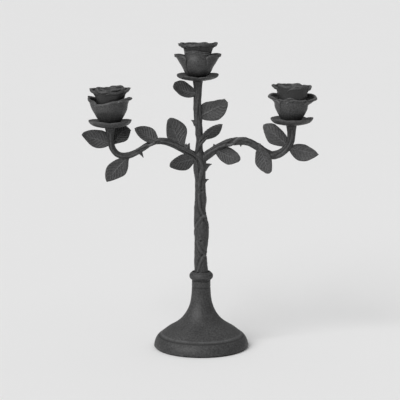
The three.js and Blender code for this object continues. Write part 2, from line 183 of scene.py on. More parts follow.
def make_piece(name, shells, body, nodes, material, sharp_angle=None):
    """One mesh object from closed shells, given to a body, a material and the CAD nodes it stands for."""
    points = np.vstack([s[0] for s in shells]) * MM
    offsets = np.cumsum([0] + [len(s[0]) for s in shells[:-1]])
    quads = np.vstack([s[1] + o for s, o in zip(shells, offsets)])
    triangles = np.vstack([s[2] + o for s, o in zip(shells, offsets)])
    mesh = bpy.data.meshes.new(name)
    mesh.vertices.add(len(points))
    mesh.vertices.foreach_set("co", points.astype(np.float32).reshape(-1))
    corners = np.concatenate([quads.reshape(-1), triangles.reshape(-1)]).astype(np.int32)
    starts = np.concatenate([np.arange(len(quads)) * 4, len(quads) * 4 + np.arange(len(triangles)) * 3])
    mesh.loops.add(len(corners))
    mesh.loops.foreach_set("vertex_index", corners)
    mesh.polygons.add(len(starts))
    mesh.polygons.foreach_set("loop_start", starts.astype(np.int32))
    mesh.polygons.foreach_set("use_smooth", np.ones(len(starts), bool))
    mesh.update(calc_edges=True)
    if mesh.validate():
        raise RuntimeError(f"{name}: the mesh had faces that don't hold together")
    # A mark on each point for the paints: paler rubbed paint and painted highlights where it is high, painted
    # shade where it is low.
    wear_and_shading = mesh.attributes.new("wear_and_shading", "FLOAT", "POINT")
    wear_and_shading.data.foreach_set("value", np.concatenate([s[3] for s in shells]).astype(np.float32))
    if sharp_angle is not None:
        mesh.set_sharp_from_angle(angle=math.radians(sharp_angle))
    mesh.materials.append(material)
    piece = bpy.data.objects.new(name, mesh)
    bpy.context.scene.collection.objects.link(piece)
    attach(piece, body)
    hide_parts(*nodes)


def box_mm(node):
    """Lowest and highest corner of a CAD node in millimetres."""
    low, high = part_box(node)
    return np.array(low) / MM, np.array(high) / MM


def unevenness(points, scale, seed):
    """Slow waves over a surface, from -1 to 1: the small unevenness of sand casting."""
    turns = np.random.default_rng(seed).normal(size=(6, 3)) / scale
    phases = np.random.default_rng(seed + 1).uniform(0, 2 * np.pi, 6)
    return np.sin(points @ turns.T * 2 * np.pi + phases).sum(-1) / 6


# ---------------------------------------------------------------------------------------------------
# Foot, collar, felt and tie bolt
# ---------------------------------------------------------------------------------------------------

# (radius, height) up the foot's dome and down its hollow.
FOOT_DOME = [
    (52.4, 15.5), (48.4, 18.6), (42.6, 23.2), (34.0, 28.4), (26.8, 33.8), (19.0, 43.6), (14.4, 53.8),
    (12.4, 64.2), (11.7, 74.0),
]
FOOT_CAVITY = [
    (18.0, 33.0), (28.0, 28.0), (37.0, 22.6), (43.5, 17.8), (48.5, 13.0), (52.3, 7.5), (53.5, 2.0),
]
# Radii of the foot's neck and of its open underside, and heights of the crease over its rim band, of the
# dome's start, of the tie bolt's washer and of the stem's foot in the collar.
FOOT_NECK = 11.5
FOOT_MOUTH = 54.0
FOOT_CREASE = 15.1
DOME_START = 17.4
BOLT_SEAT = 33.0
STEM_SEAT = 90.0


def along_points(points, count):
    """Evenly spaced points on the smooth curve through a list of points, and how far along it they are."""
    points = np.asarray(points, float)
    knots = np.concatenate([[0], np.cumsum(np.linalg.norm(np.diff(points[:, :3], axis=0), axis=1))])
    at = np.linspace(0, knots[-1], count)
    return spline(knots, points, at), at


def foot_shell(groove):
    """Bell foot: a convex rim band (a curve of the second degree), a crease, a swept dome and the neck, hollow
    underneath. The profile is turned round the axis, with a fine groove at the given height, and slow waves
    a fraction of a millimetre deep keep it from looking machined."""
    low, high = box_mm("base_bell")
    radius, bottom, top = high[0], low[2], high[2]
    t = np.linspace(0, 1, 26)[:, None]
    band_ends = [radius - 0.05, bottom + 0.6], [radius - 0.8, 10.0], [53.2, 14.9]
    band_foot, band_belly, band_top = np.array(band_ends)
    band = (1 - t) ** 2 * band_foot + 2 * t * (1 - t) * band_belly + t**2 * band_top
    dome, _ = along_points(FOOT_DOME + [(FOOT_NECK, top - 0.4)], 120)
    dome[:, 0] -= 0.4 * hump(dome[:, 1] - groove, 0.55)
    cavity, _ = along_points(FOOT_CAVITY, 40)
    profile = np.vstack([
        [(TIE_HOLE, BOLT_SEAT), (11.0, BOLT_SEAT)], cavity,
        [(FOOT_MOUTH, bottom), (radius - 2.0, bottom), (radius - 0.5, bottom + 0.1)], band, dome,
        [(FOOT_NECK - 0.4, top), (TIE_HOLE + 0.6, top), (TIE_HOLE, top - 0.4), (TIE_HOLE, 60.0)],
    ])
    rings = revolved(profile, 192)
    height = rings[..., 2]
    outward = unit(rings * [1.0, 1.0, 0.0])
    waves = unevenness(rings, scale=34.0, seed=5)
    swept = smooth((height - bottom) / 3) * smooth((top - height) / 8)
    rings += outward * (0.14 * waves * swept)[..., None]
    # The foot's paint: waves change its tone at random, the bottom edge is paler rubbed paint, the dome's
    # start is a paler painted highlight, and the crease over the rim band and the neck's groove are painted
    # darker as painted shade.
    ridges = 0.35 * hump(height - DOME_START, 0.9) + 0.25 * hump(height - bottom, 0.9)
    hollows = hump(height - FOOT_CREASE, 0.55) + hump(height - groove, 0.5)
    return shell(rings, "loop", 0.5 + 0.1 * waves + ridges - 0.6 * hollows)


def collar_shell():
    """Bead collar: a full round bead between two small fillets, dished on top round the stem's socket. The
    bead is an arc of a circle, and slow waves take its evenness away."""
    low, high = box_mm("neck_collar")
    bottom, top, radius = low[2], high[2], high[0]
    middle = (bottom + top) / 2
    round_bead = 4.9
    a = np.linspace(-math.radians(66), math.radians(62), 40)
    bead = np.stack([
        radius - round_bead + round_bead * np.cos(a), middle + 0.1 + round_bead * np.sin(a),
    ], -1)
    profile = np.vstack([
        [(TIE_HOLE, bottom), (11.3, bottom), (11.8, bottom + 0.3), (11.9, bottom + 0.8)], bead,
        [(11.7, top - 0.3), (11.2, top), (10.7, top - 0.1), (10.2, top - 1.0), (9.8, top - 2.6)],
        [(9.7, STEM_SEAT), (TIE_HOLE, STEM_SEAT)],
    ])
    rings = revolved(profile, 128)
    rings += unit(rings * [1.0, 1.0, 0.0]) * (0.12 * unevenness(rings, scale=14.0, seed=9))[..., None]
    wear_and_shading = 0.4 + 0.22 * hump(rings[..., 2] - middle, 2.5) + 0.2 * hump(rings[..., 2] - top, 0.6)
    return shell(rings, "loop", wear_and_shading)


def felt_shell():
    """Felt ring: a flat ring with soft edges. Its section runs as |cos a|^0.35 across and |sin a|^0.6 up,
    each with its own sign."""
    _, high = box_mm("base_felt")
    outer, inner, top = high[0], FOOT_MOUTH, high[2]
    a = np.linspace(0, 2 * np.pi, 24, endpoint=False)
    across = np.sign(np.cos(a)) * np.abs(np.cos(a)) ** 0.35
    up = np.sign(np.sin(a)) * np.abs(np.sin(a)) ** 0.6
    profile = np.stack([(outer + inner) / 2 + across * (outer - inner) / 2, top / 2 + up * top / 2], -1)
    rings = revolved(profile, 160)
    return shell(rings, "loop")


def hexagon(turn, flats):
    """Radius of a hexagon with that distance across its flats, at each turn in radians."""
    sector = np.pi / 3
    return flats / 2 / np.cos((turn % sector) - sector / 2)


def thread(height, turn, radius, depth, pitch):
    """Radius of a screw thread: a triangle wave that climbs one pitch in a turn."""
    wave = np.abs(((height / pitch - turn / (2 * np.pi)) % 1.0) * 2 - 1)
    return radius - depth * wave


def bolt_shell():
    """Tie bolt: a chamfered hexagon head under a plain shank, which ends in a screw thread."""
    low, high = box_mm("tie_bolt")
    bottom, top = low[2], high[2]
    head_top, head_flats, plain_end, shank_radius = bottom + 5.3, 13.0, 88.0, 4.0
    plain = np.linspace(head_top, plain_end, 12)
    shank = np.concatenate([plain, np.linspace(plain_end + 0.1, top - 0.6, 190)])
    heights = np.concatenate([[bottom, bottom, bottom + 0.6, head_top - 0.1, head_top], shank, [top, top]])
    turn = np.linspace(0, 2 * np.pi, 60, endpoint=False)
    screwed = thread(shank[:, None], turn, shank_radius, depth=0.65, pitch=1.25)
    radius = np.empty((len(heights), len(turn)))
    radius[0] = 0.1
    radius[1] = 5.9
    radius[2:4] = hexagon(turn, head_flats)
    radius[4] = 6.1
    radius[5:-2] = np.where(shank[:, None] < plain_end, shank_radius, screwed)
    radius[-2:] = [[3.2], [0.1]]
    return shell(around(radius, heights, turn))


def washer_shell():
    """Washer: a flat ring with its outer edges chamfered."""
    low, high = box_mm("tie_washer")
    radius, bottom, top = high[0], low[2], high[2]
    chamfer = 0.3
    profile = [
        (TIE_HOLE, bottom), (radius - chamfer, bottom), (radius, bottom + chamfer), (radius, top - chamfer),
        (radius - chamfer, top), (TIE_HOLE, top),
    ]
    return shell(revolved(profile, 72), "loop")


# ---------------------------------------------------------------------------------------------------
# Branches
# ---------------------------------------------------------------------------------------------------

# Routes as (x, y, z, radius) from root to tip.
STEM_ROUTE = [
    (0, 0, 90.6, 8.6), (0, 0, 98, 8.4), (-0.8, 0, 107, 8), (-0.8, 0, 120, 7.8), (0.2, 0, 134, 8.5),
    (0.4, 0, 147, 9.1), (-0.6, 0, 160, 8.4), (-1.6, 0, 173, 7.2), (-0.7, 0, 186, 7.3), (-1.0, 0, 199, 6.6),
    (-1.1, 0, 211, 6.7), (-2.0, 0, 223, 7.6), (-1.8, 0, 233, 8), (-2.6, 0, 241, 6.6), (-2.6, 0, 249, 4.8),
    (-2.2, 0, 260, 4.2), (-2.6, 0, 270, 4.6), (-3.6, 0, 282, 4.7), (-4.7, 0, 296, 4.9), (-4.6, 0, 312, 4.8),
    (-4.3, 0, 324, 5.1), (-4.2, 0, 332.5, 6.3),
]
ARM_LEFT_ROUTE = [
    (-1, 0, 234.5, 5), (-9, 0, 240.6, 5), (-17, 0, 245.6, 4.6), (-26, 0, 250.4, 4.2), (-35, 0, 254.8, 4.2),
    (-45, 0, 258.4, 4.4), (-54, 0, 258.6, 3.9), (-63, 0, 255.2, 3.6), (-72, 0, 249.6, 3.7),
    (-80, 0, 244.6, 3.8), (-88, 0, 241.2, 4.0), (-96, 0, 240.2, 4.0), (-103.5, 0, 243, 3.8),
    (-109, 0, 250.5, 3.9), (-111.3, 0, 260, 4.3), (-111.6, 0, 268, 5.2), (-111.5, 0, 274.9, 6.6),
]
ARM_RIGHT_ROUTE = [
    (-1, 0, 234, 5.2), (5, 0, 239.4, 5.4), (14, 0, 246, 5.2), (23, 0, 252, 4.6), (33, 0, 256.6, 4.6),
    (43, 0, 258.4, 5), (53, 0, 258.4, 4.8), (62, 0, 255.6, 4.6), (70, 0, 251, 4.8), (78, 0, 244.9, 5.1),
    (86, 0, 241.2, 5.3), (94, 0, 242.4, 5.1), (102, 0, 247.2, 4.8), (108, 0, 254.5, 4.8),
    (110.2, 0, 264, 5), (110.4, 0, 271, 5.5), (110.4, 0, 278, 6.6),
]

# Bark strands as ([(distance along, angle), ...], height, width). The stem's distance is its height, and
# its angle is 0 at the right, 90 at the front, 180 at the left and 270 at the back. On the arms the
# distance is from the root and 90 is the front, while 0 is the left arm's top and the right arm's underside.
STEM_STRANDS = [
    ([(198, 106), (206, 104), (211, 101), (219, 88), (226, 68), (233, 78), (240, 104)], 1.1, 1.3),
    ([(203, 130), (212, 134), (221, 150), (230, 152), (238, 128)], 0.9, 1.5),
    ([(146, -25), (152, 0), (160, 30), (169, 63), (178, 93), (187, 106), (196, 112)], 1.1, 1.3),
    ([(138, 205), (146, 172), (153, 143), (159, 112), (163, 84), (167, 45), (171, 10)], 1.0, 1.3),
    ([(101, -24), (108, -4), (114, 22), (118, 50), (123.5, 92), (131.5, 122), (139, 140)], 1.1, 1.3),
    ([(92, 140), (99, 117), (105, 103), (110, 84), (114.5, 62), (119, 30), (124, 0)], 1.0, 1.2),
    ([(150, 12), (161, 8), (176, 40), (190, 50), (204, 44), (218, 30)], 0.6, 1.7),
    ([(96, 220), (112, 262), (128, 290), (146, 300), (164, 268), (182, 240), (200, 250)], 1.1, 1.5),
    ([(104, 330), (122, 310), (138, 262), (156, 236), (176, 280), (196, 312), (216, 300)], 1.0, 1.5),
    ([(190, 216), (204, 240), (218, 262), (230, 280), (240, 270)], 1.0, 1.5),
    ([(246, 150), (252, 118), (258, 88), (264, 50), (270, 10)], 0.7, 1.0),
    ([(262, 180), (274, 140), (288, 118), (300, 96), (314, 70), (328, 58)], 0.8, 1.2),
    ([(292, 160), (302, 130), (312, 116), (322, 104), (330, 100)], 0.8, 1.1),
    ([(250, 250), (268, 280), (288, 250), (308, 288), (328, 262)], 0.7, 1.2),
    ([(280, 6), (294, 34), (306, 40), (318, 24), (328, 18)], 0.8, 1.2),
]
# Knots in the bark as (distance, angle, size).
STEM_PITS = [(198.0, 74.0, 1.7), (135.4, 92.0, 1.9), (176.0, 200.0, 1.6), (152.0, 272.0, 1.8)]
ARM_LEFT_STRANDS = [
    ([(6, 60), (20, 58), (34, 66), (48, 84), (60, 98)], 0.95, 1.1),
    ([(44, 20), (54, 46), (62, 80), (70, 120), (78, 150)], 1.15, 1.2),
    ([(54, 160), (62, 126), (70, 92), (80, 56), (90, 30)], 1.15, 1.1),
    ([(84, 120), (96, 104), (108, 90), (122, 96), (134, 80), (146, 84)], 0.95, 1.1),
    ([(8, 250), (28, 280), (52, 262), (78, 290), (104, 264), (136, 284)], 1.05, 1.3),
]
ARM_RIGHT_STRANDS = [
    ([(6, 110), (20, 104), (32, 84), (42, 60), (50, 40)], 1.05, 1.3),
    ([(34, 14), (40, 38), (46, 74), (52, 116), (58, 152), (66, 172)], 1.6, 1.5),
    ([(46, 150), (56, 128), (66, 118), (78, 104), (88, 96)], 0.95, 1.3),
    ([(60, 60), (74, 66), (88, 80), (98, 100), (110, 124)], 1.05, 1.2),
    ([(104, 60), (116, 84), (126, 96), (138, 84), (148, 90)], 1.05, 1.1),
    ([(8, 250), (28, 284), (54, 262), (80, 288), (106, 262), (140, 280)], 1.15, 1.4),
]

# Thorns as (root, tip, root radius).
STEM_THORNS = [
    ((3, 0, 225.5), (13.2, -1, 230.2), 3.6), ((2, 0, 207), (9.6, 1, 211), 2.4),
    ((-6, 0, 279.5), (-12.4, -1, 284.4), 2.6),
]
ARM_LEFT_THORNS = [
    ((-18, 0, 246.5), (-14.2, 0, 256.2), 3.4), ((-19.5, 0, 248), (-18.4, 0, 255.6), 2.8),
    ((-77, 0, 247), (-71, 0, 238.2), 3.0),
]
ARM_RIGHT_THORNS = [((17, 0, 249), (15, 0, 255.0), 2.6), ((48, 0, 256.5), (48.6, 0, 251.6), 3.0)]

# Vines over the crown as (x, y, z, radius): two run off the left arm and down the front of the stem, and one
# rises from it to the right.
CROWN_VINES = [
    [(-34, -3.6, 254.5, 0.5), (-24, -4.3, 249.8, 1.2), (-14, -5.0, 244.6, 1.4), (-6, -6.6, 240.2, 1.5),
     (-0.5, -7.6, 235.4, 1.6), (1.6, -7.9, 228.5, 1.6), (0.8, -7.5, 220.5, 1.5), (-1.0, -6.9, 212.0, 1.3),
     (-2.2, -6.3, 204.0, 0.5)],
    [(-30, -3.4, 248.6, 0.4), (-21, -4.2, 244.6, 1.1), (-12, -5.2, 239.6, 1.3), (-6.4, -6.4, 234.4, 1.4),
     (-4.8, -7.1, 227.0, 1.5), (-4.4, -6.6, 219.0, 1.3), (-3.2, -6.3, 210.0, 0.5)],
    [(-6.0, -4.4, 242.0, 0.5), (-5.0, -5.4, 247.5, 1.5), (-2.6, -5.8, 252.5, 1.7), (0.8, -4.8, 257.0, 1.8),
     (4.6, -3.6, 261.0, 1.6), (8.5, -3.4, 265.0, 0.6)],
]
# Height in metres of the stem's tallest strands above.
BARK_HEIGHT = 0.0011
# Radius and depth of the hole in a branch's end for the rose's stud.
BRANCH_HOLE = (STUD_HOLE, 8.4)


def bark(place, turn, radius, strands, pits):
    """Height of the bark over a branch's round section. A strand is a fold along its own winding line,
    lower where it turns to the branch's sides, with a deep groove on one side and a shallower one on the
    other; a pit is a small hollow with a raised rim. Each is a sum of rounded ridges, exp(-(off / width)^2),
    of the distance off the strand's line or away from the pit's middle."""
    depth = np.zeros(radius.shape)
    run_out = 5.0
    for line, height, width in strands:
        knots, angles = np.asarray(line, float).T
        winding = np.radians(spline(knots, angles, place))
        slope = np.gradient(winding, axis=0) / np.maximum(np.gradient(place, axis=0), 1e-6) * radius
        off = radius * ((turn - winding + np.pi) % (2 * np.pi) - np.pi) / np.sqrt(1 + slope**2)
        fade = smooth((place - knots[0]) / run_out) * smooth((knots[-1] - place) / run_out)
        fade = fade * (0.4 + 0.6 * np.abs(np.sin(winding)))
        aside, narrow = 2.2 * width, 0.8 * width
        groove = hump(off - aside, narrow) + 0.6 * hump(off + aside, narrow)
        depth += height * fade * (hump(off, 1.3 * width) - 0.8 * groove)
    for where, angle, size in pits:
        off = radius * ((turn - math.radians(angle) + np.pi) % (2 * np.pi) - np.pi)
        away = np.hypot(place - where, off)
        depth += 0.5 * hump(away - 1.2 * size, 0.4 * size) - 1.3 * hump(away, 0.7 * size)
    return depth


def branch_shell(route, start, rows, columns, strands=(), pits=(), seed=1, lumps=0.3, bore=None):
    """Branch: round sections of the route's radius, square to its smooth line, raised by the bark and by
    slow lumps. start is what the distance along the branch counts from, and bore the (radius, depth) of a
    hole down into its end."""
    line, along = along_points(route, rows)
    centre, radius = line[:, :3], line[:, 3:]
    tangent = unit(np.gradient(centre, axis=0))
    side = unit(np.cross(-FRONT, tangent))
    front = unit(np.cross(side, tangent))
    front = front * np.sign(front @ FRONT)[:, None]
    turn = np.linspace(0, 2 * np.pi, columns, endpoint=False)[None, :]
    place = along[:, None] + start + 0 * turn
    girth = radius + 0 * turn
    depth = bark(place, turn, girth, strands, pits)
    around_it = np.cos(turn)[..., None] * side[:, None] + np.sin(turn)[..., None] * front[:, None]
    lump = lumps * unevenness(centre[:, None] + girth[..., None] * around_it, 11.0, seed)
    rings = centre[:, None] + (girth + depth + lump)[..., None] * around_it
    # The bark's paint: raised strands are paler rubbed paint, grooves and pits are painted darker as painted
    # shade, and slow lumps change the tone.
    wear_and_shading = 0.5 + 0.2 * np.maximum(depth, 0) + 0.45 * np.minimum(depth, 0) + 0.25 * lump
    if bore is not None:
        hole, deep = bore
        mouth = centre[-1] + hole * around_it[-1]
        floor = mouth - tangent[-1] * deep
        rings = np.concatenate([rings, mouth[None], floor[None]])
        wear_and_shading = np.concatenate([wear_and_shading, np.full((2, columns), 0.5)])
    return shell(rings, "fan", wear_and_shading)


def thorn_shell(root, tip, radius):
    """Thorn: a cone that flares at its root, sharpens towards its tip and leans a little off straight. Its
    radius falls with the share t of its length as 1.35 (1 - t)^1.15 of the root's radius."""
    root, tip = np.array(root, float), np.array(tip, float)
    t = np.linspace(0, 1, 7)[:, None]
    lean = np.array([0.0, 0.0, 0.9]) * np.sin(np.pi * t)
    girth = 1.35 * radius * (1 - t) ** 1.15 + 0.35
    route = np.hstack([root + (tip - root) * t + lean, girth])
    return branch_shell(route, 0.0, 22, 20, lumps=0.15)


def thorny_branch(route, start, strands, pits, thorns, seed, rows):
    """A branch drilled for its rose's stud, and its thorns."""
    body = branch_shell(route, start, rows, 96, strands, pits, seed, bore=BRANCH_HOLE)
    return [body] + [thorn_shell(*thorn) for thorn in thorns]


# ---------------------------------------------------------------------------------------------------
# Leaves
# ---------------------------------------------------------------------------------------------------

# Each leaf: its stalk's root, its blade's tip, its roll about its length in degrees, its arch towards the
# back, and the widths of its two sides at LEAF_STATIONS but the first and the last, where all leaves are as
# wide as their stalk and their point. The first side is the upper one on a leaf that points left and the
# lower one on a leaf that points right.
LEAF_STATIONS = (0.0, 0.1, 0.22, 0.36, 0.5, 0.64, 0.78, 0.9, 0.97, 1.0)
LEAVES = {
    "leaf_left_1": (
        (-111, -1, 256), (-145.8, -8, 267.6), 8, 3,
        (6.5, 10.8, 12.2, 11.4, 10.2, 8.2, 5.2, 2.8), (5.8, 8.6, 10.4, 10.4, 8.8, 5.8, 3.0, 1.2),
    ),
    "leaf_left_2": (
        (-109, 4, 255), (-91.4, 17, 274.6), -14, -2,
        (4.2, 7.4, 10.6, 11.8, 10.8, 9.2, 7.4, 5.4), (5.0, 8.0, 10.0, 10.5, 9.5, 8.0, 6.0, 4.0),
    ),
    "leaf_left_3": (
        (-89.5, 0, 240), (-115.8, -7, 209.1), -10, 3,
        (3.4, 6.6, 9.4, 11.2, 11.6, 9.6, 6.0, 2.6), (4.4, 8.2, 11.2, 12.2, 10.0, 6.8, 3.6, 1.2),
    ),
    "leaf_left_4": (
        (-53, -1, 258.6), (-81.2, -9, 275.4), 28, 3,
        (6.0, 9.8, 11.8, 11.6, 10.2, 7.6, 4.2, 1.6), (4.4, 6.4, 7.4, 7.2, 6.4, 5.0, 2.8, 0.8),
    ),
    "leaf_left_5": (
        (-23.5, 0, 249.5), (-38.3, -4, 287.6), 6, 3,
        (5.5, 8.6, 12.6, 14.6, 13.6, 10.4, 6.4, 3.0), (7.0, 10.0, 11.6, 11.8, 10.2, 8.0, 5.4, 3.0),
    ),
    "leaf_left_6": (
        (-7, -3, 237), (-38.6, -13, 229.4), -24, 3,
        (5.0, 8.0, 9.6, 10.0, 9.0, 7.8, 5.6, 3.2), (6.0, 10.6, 13.2, 12.6, 10.6, 7.6, 4.4, 2.2),
    ),
    "leaf_top_1": (
        (-6, -2, 317), (-34.1, -13, 327.2), 26, 4,
        (5.5, 8.0, 10.2, 11.6, 11.4, 9.8, 7.0, 4.4), (5.0, 6.8, 7.6, 7.6, 7.0, 5.0, 3.2, 1.4),
    ),
    "leaf_top_2": (
        (-3, 0, 288.5), (32.3, -6, 306.8), -6, 3,
        (6.4, 9.8, 12.6, 14.0, 13.0, 10.4, 6.0, 2.6), (8.0, 11.6, 12.4, 11.0, 9.2, 8.0, 6.0, 4.6),
    ),
    "leaf_top_3": (
        (-1, -2, 259.5), (26.0, -8, 280.2), 46, 3,
        (4.4, 8.6, 12.0, 13.4, 12.6, 9.0, 4.6, 1.2), (3.0, 5.0, 6.3, 6.4, 5.6, 4.2, 2.2, 0.8),
    ),
    "leaf_right_1": (
        (17.5, -2, 248), (47.8, -9, 236.5), -26, 3,
        (5.0, 7.8, 9.8, 10.8, 11.0, 8.6, 5.0, 2.6), (5.0, 8.5, 10.0, 10.4, 9.4, 7.8, 5.0, 2.6),
    ),
    "leaf_right_2": (
        (71.8, -6.5, 252), (83.2, -10, 219.8), 8, 3,
        (6.6, 8.8, 11.0, 12.4, 11.4, 8.8, 5.4, 3.0), (5.0, 7.0, 8.2, 8.4, 7.6, 6.2, 4.6, 2.8),
    ),
    "leaf_right_3": (
        (107, 0, 252), (76.4, 9, 277.6), 10, -3,
        (4.0, 7.5, 9.0, 9.6, 9.6, 9.0, 5.8, 2.6), (4.5, 7.8, 11.0, 12.6, 11.0, 8.0, 4.8, 2.4),
    ),
    "leaf_right_4": (
        (108, -1, 250), (143.6, -7, 243.0), -8, 3,
        (6.4, 10.0, 12.4, 12.4, 11.2, 8.0, 4.2, 1.6), (5.0, 7.2, 8.2, 8.4, 6.8, 5.0, 2.8, 0.8),
    ),
}
# Half widths at a leaf's stalk and point, length of stalk inside the branch, and pairs of side veins.
LEAF_STALK = 2.2
LEAF_POINT = 0.3
STALK_SUNK = 4.0
VEIN_PAIRS = 8.5


def leaf_shell(name, vein_height, seed):
    """Leaf: a blade whose two side widths are smooth lines through the given ones, on a midrib that arches
    along a half wave and lies in a slight fold, with its stalk sunk in the branch. Side veins are ridges
    wherever pairs x (b - 0.26 |c|^1.25) is whole, b along the leaf and c from -1 to 1 across, half a step
    apart on the two sides."""
    root, tip, roll, arch, first, second = LEAVES[name]
    root, tip = np.array(root, float), np.array(tip, float)
    length = np.linalg.norm(tip - root)
    along = (tip - root) / length
    flat = unit(np.cross(-FRONT, along))
    side = flat * math.cos(math.radians(roll)) + np.cross(along, flat) * math.sin(math.radians(roll))
    normal = np.cross(along, side)
    sunk = STALK_SUNK / length
    first, second = (np.array([LEAF_STALK, *widths, LEAF_POINT]) for widths in (first, second))

    def place(v):
        t = (1 + sunk) * v - sunk
        return t, np.clip(t, 0.0, 1.0)

    def half_width(b, u):
        return np.where(u > 0, spline(LEAF_STATIONS, first, b), spline(LEAF_STATIONS, second, b))

    def middle(v, u):
        t, b = place(v)
        off = u * half_width(b, u)
        lift = arch * np.sin(np.pi * np.clip(t, 0, 1)) - 0.12 * (np.sqrt(off**2 + 4) - 2)
        lift = lift + 0.5 * np.sin(2.3 * np.pi * b + seed) * np.abs(u) ** 2 * np.sin(np.pi * b)
        return root + (length * t)[..., None] * along + off[..., None] * side + lift[..., None] * normal

    def veins(v, u):
        _, b = place(v)
        off = u * half_width(b, u)
        order = VEIN_PAIRS * (b - 0.26 * np.abs(u) ** 1.25) + 0.5 * (u > 0) + 0.08 * np.sin(7 * b + seed)
        step = ((order + 0.5) % 1 - 0.5) * length / VEIN_PAIRS
        inner = smooth(np.abs(off) / 1.2) * smooth((1 - np.abs(u)) / 0.16)
        inner = inner * smooth(b / 0.1) * smooth((1 - b) / 0.1)
        rib = hump(off, 0.85) * smooth((1 - b) / 0.5) * smooth(b / 0.06)
        return np.clip(rib * 1.2 + inner * hump(step, 0.62), 0, 1.2)

    def thickness(v, u):
        _, b = place(v)
        raised = veins(v, u)
        plain = 0.95 + 0.45 * (1 - smooth(b * 5)) - 0.3 * np.abs(u) ** 3 * smooth(b * 4)
        return plain * (0.35 + 0.65 * smooth((1 - b) / 0.06)) + vein_height * raised

    rings, v, u = sheet_rings(middle, thickness, 150, 176)
    # The leaf's paint: veins are paler rubbed paint, and the blade's edges are painted darker as painted
    # shade.
    raised = veins(v, u)
    rim = smooth((np.abs(u) - 0.88) / 0.1)
    return shell(rings, "strip", 0.44 + 0.4 * raised - 0.26 * rim)


# ---------------------------------------------------------------------------------------------------
# Roses and drip pans
# ---------------------------------------------------------------------------------------------------

# The (radius, height) line from which the open petals of each lower whorl rise.
CUP_ROOTS = {
    "centre": [(8.4, 5.1), (12.2, 6.9), (15.2, 10.6), (17.9, 16.2)],
    "left": [(8.2, 5.1), (11.4, 6.9), (14.0, 10.6), (17.2, 16.2)],
    "right": [(8.2, 5.1), (11.2, 6.9), (13.8, 10.6), (17.0, 16.2)],
}
# A petal: direction of its middle in degrees (270 is the front), half its spread, the (radius, height)
# lines up its middle and up its sides after the root's, the powers a and b of the share (1 - |u|^a)^b by
# which it goes from its side line to its middle line, and how much higher its second side stands than its
# first. Heights are from the branch's end.
CUP_PETALS = {
    "centre": [
        (90, 58, [(19.0, 24.0), (19.2, 31.0), (20.0, 35.5)],
         [(19.0, 24.0), (17.6, 30.0), (17.4, 33.0)], (2, 1), 0.0),
        (268, 62, [(19.0, 24.0), (17.5, 31.0), (17.5, 34.2), (18.6, 35.9), (19.7, 35.4)],
         [(18.6, 24.0), (17.0, 30.0), (16.8, 33.6), (17.6, 35.2), (18.6, 34.9)], (3, 1), -3.2),
        (178, 50, [(22.0, 23.0), (25.0, 28.0), (28.4, 32.4)],
         [(20.0, 23.0), (19.0, 27.2), (18.6, 30.0)], (1, 1.1), 0.0),
        (2, 60, [(22.0, 23.0), (25.2, 28.2), (28.4, 32.6)],
         [(19.9, 23.0), (18.9, 27.8), (18.2, 31.6)], (1, 1.1), 0.0),
    ],
    "left": [
        (78, 60, [(20.0, 25.0), (20.6, 32.0), (22.6, 36.5)],
         [(19.4, 25.0), (18.4, 31.0), (17.8, 34.0)], (2, 1), 0.0),
        (162, 58, [(22.6, 25.0), (25.4, 31.5), (28.4, 37.6)],
         [(20.4, 25.0), (19.4, 30.0), (19.0, 33.0)], (1, 1.1), -1.0),
        (340, 50, [(20.4, 23.0), (21.6, 29.6), (24.2, 34.6), (27.6, 36.6), (28.4, 36.0)],
         [(20.0, 23.0), (19.8, 29.0), (19.4, 33.0), (19.4, 34.6), (19.6, 35.0)], (2, 1.3), 1.0),
        (264, 66, [(20.4, 22.0), (20.8, 27.0), (20.5, 29.8), (19.5, 31.4), (18.3, 31.6)],
         [(20.3, 22.0), (20.6, 26.8), (20.4, 29.6), (19.8, 31.0), (19.0, 31.2)], (3, 1), 8.6),
    ],
    "right": [
        (95, 60, [(20.4, 26.8), (21.0, 34.2), (22.4, 38.2)],
         [(20.0, 26.8), (18.8, 33.2), (18.2, 36.2)], (2, 1), 0.0),
        (262, 38, [(18.8, 25.5), (17.8, 32.2), (17.6, 35.6), (18.4, 36.0)],
         [(18.6, 25.5), (17.4, 32.2), (17.0, 34.6), (17.6, 34.8)], (2, 1), 3.0),
        (172, 54, [(19.8, 22.7), (20.8, 28.8), (24.9, 33.4), (28.0, 35.8), (29.0, 34.8)],
         [(19.6, 22.7), (20.0, 29.2), (20.0, 32.8), (20.8, 34.2), (21.6, 34.0)], (2, 1), -5.0),
        (6, 56, [(18.6, 20.0), (19.6, 25.4), (24.8, 29.8), (30.0, 33.6), (31.0, 32.6)],
         [(18.6, 20.0), (19.8, 27.6), (20.8, 31.6), (22.0, 33.6), (22.8, 33.2)], (2, 1), 8.5),
        (222, 40, [(19.4, 23.0), (20.0, 29.0), (20.8, 31.6), (22.0, 31.2)],
         [(19.2, 23.0), (19.6, 28.8), (20.2, 31.0), (21.0, 31.0)], (3, 1), 1.0),
        (290, 44, [(19.9, 23.0), (20.6, 28.6), (21.6, 31.2), (23.2, 30.6)],
         [(19.8, 23.0), (20.2, 28.4), (21.0, 30.6), (22.2, 30.6)], (3, 1), -1.2),
    ],
}
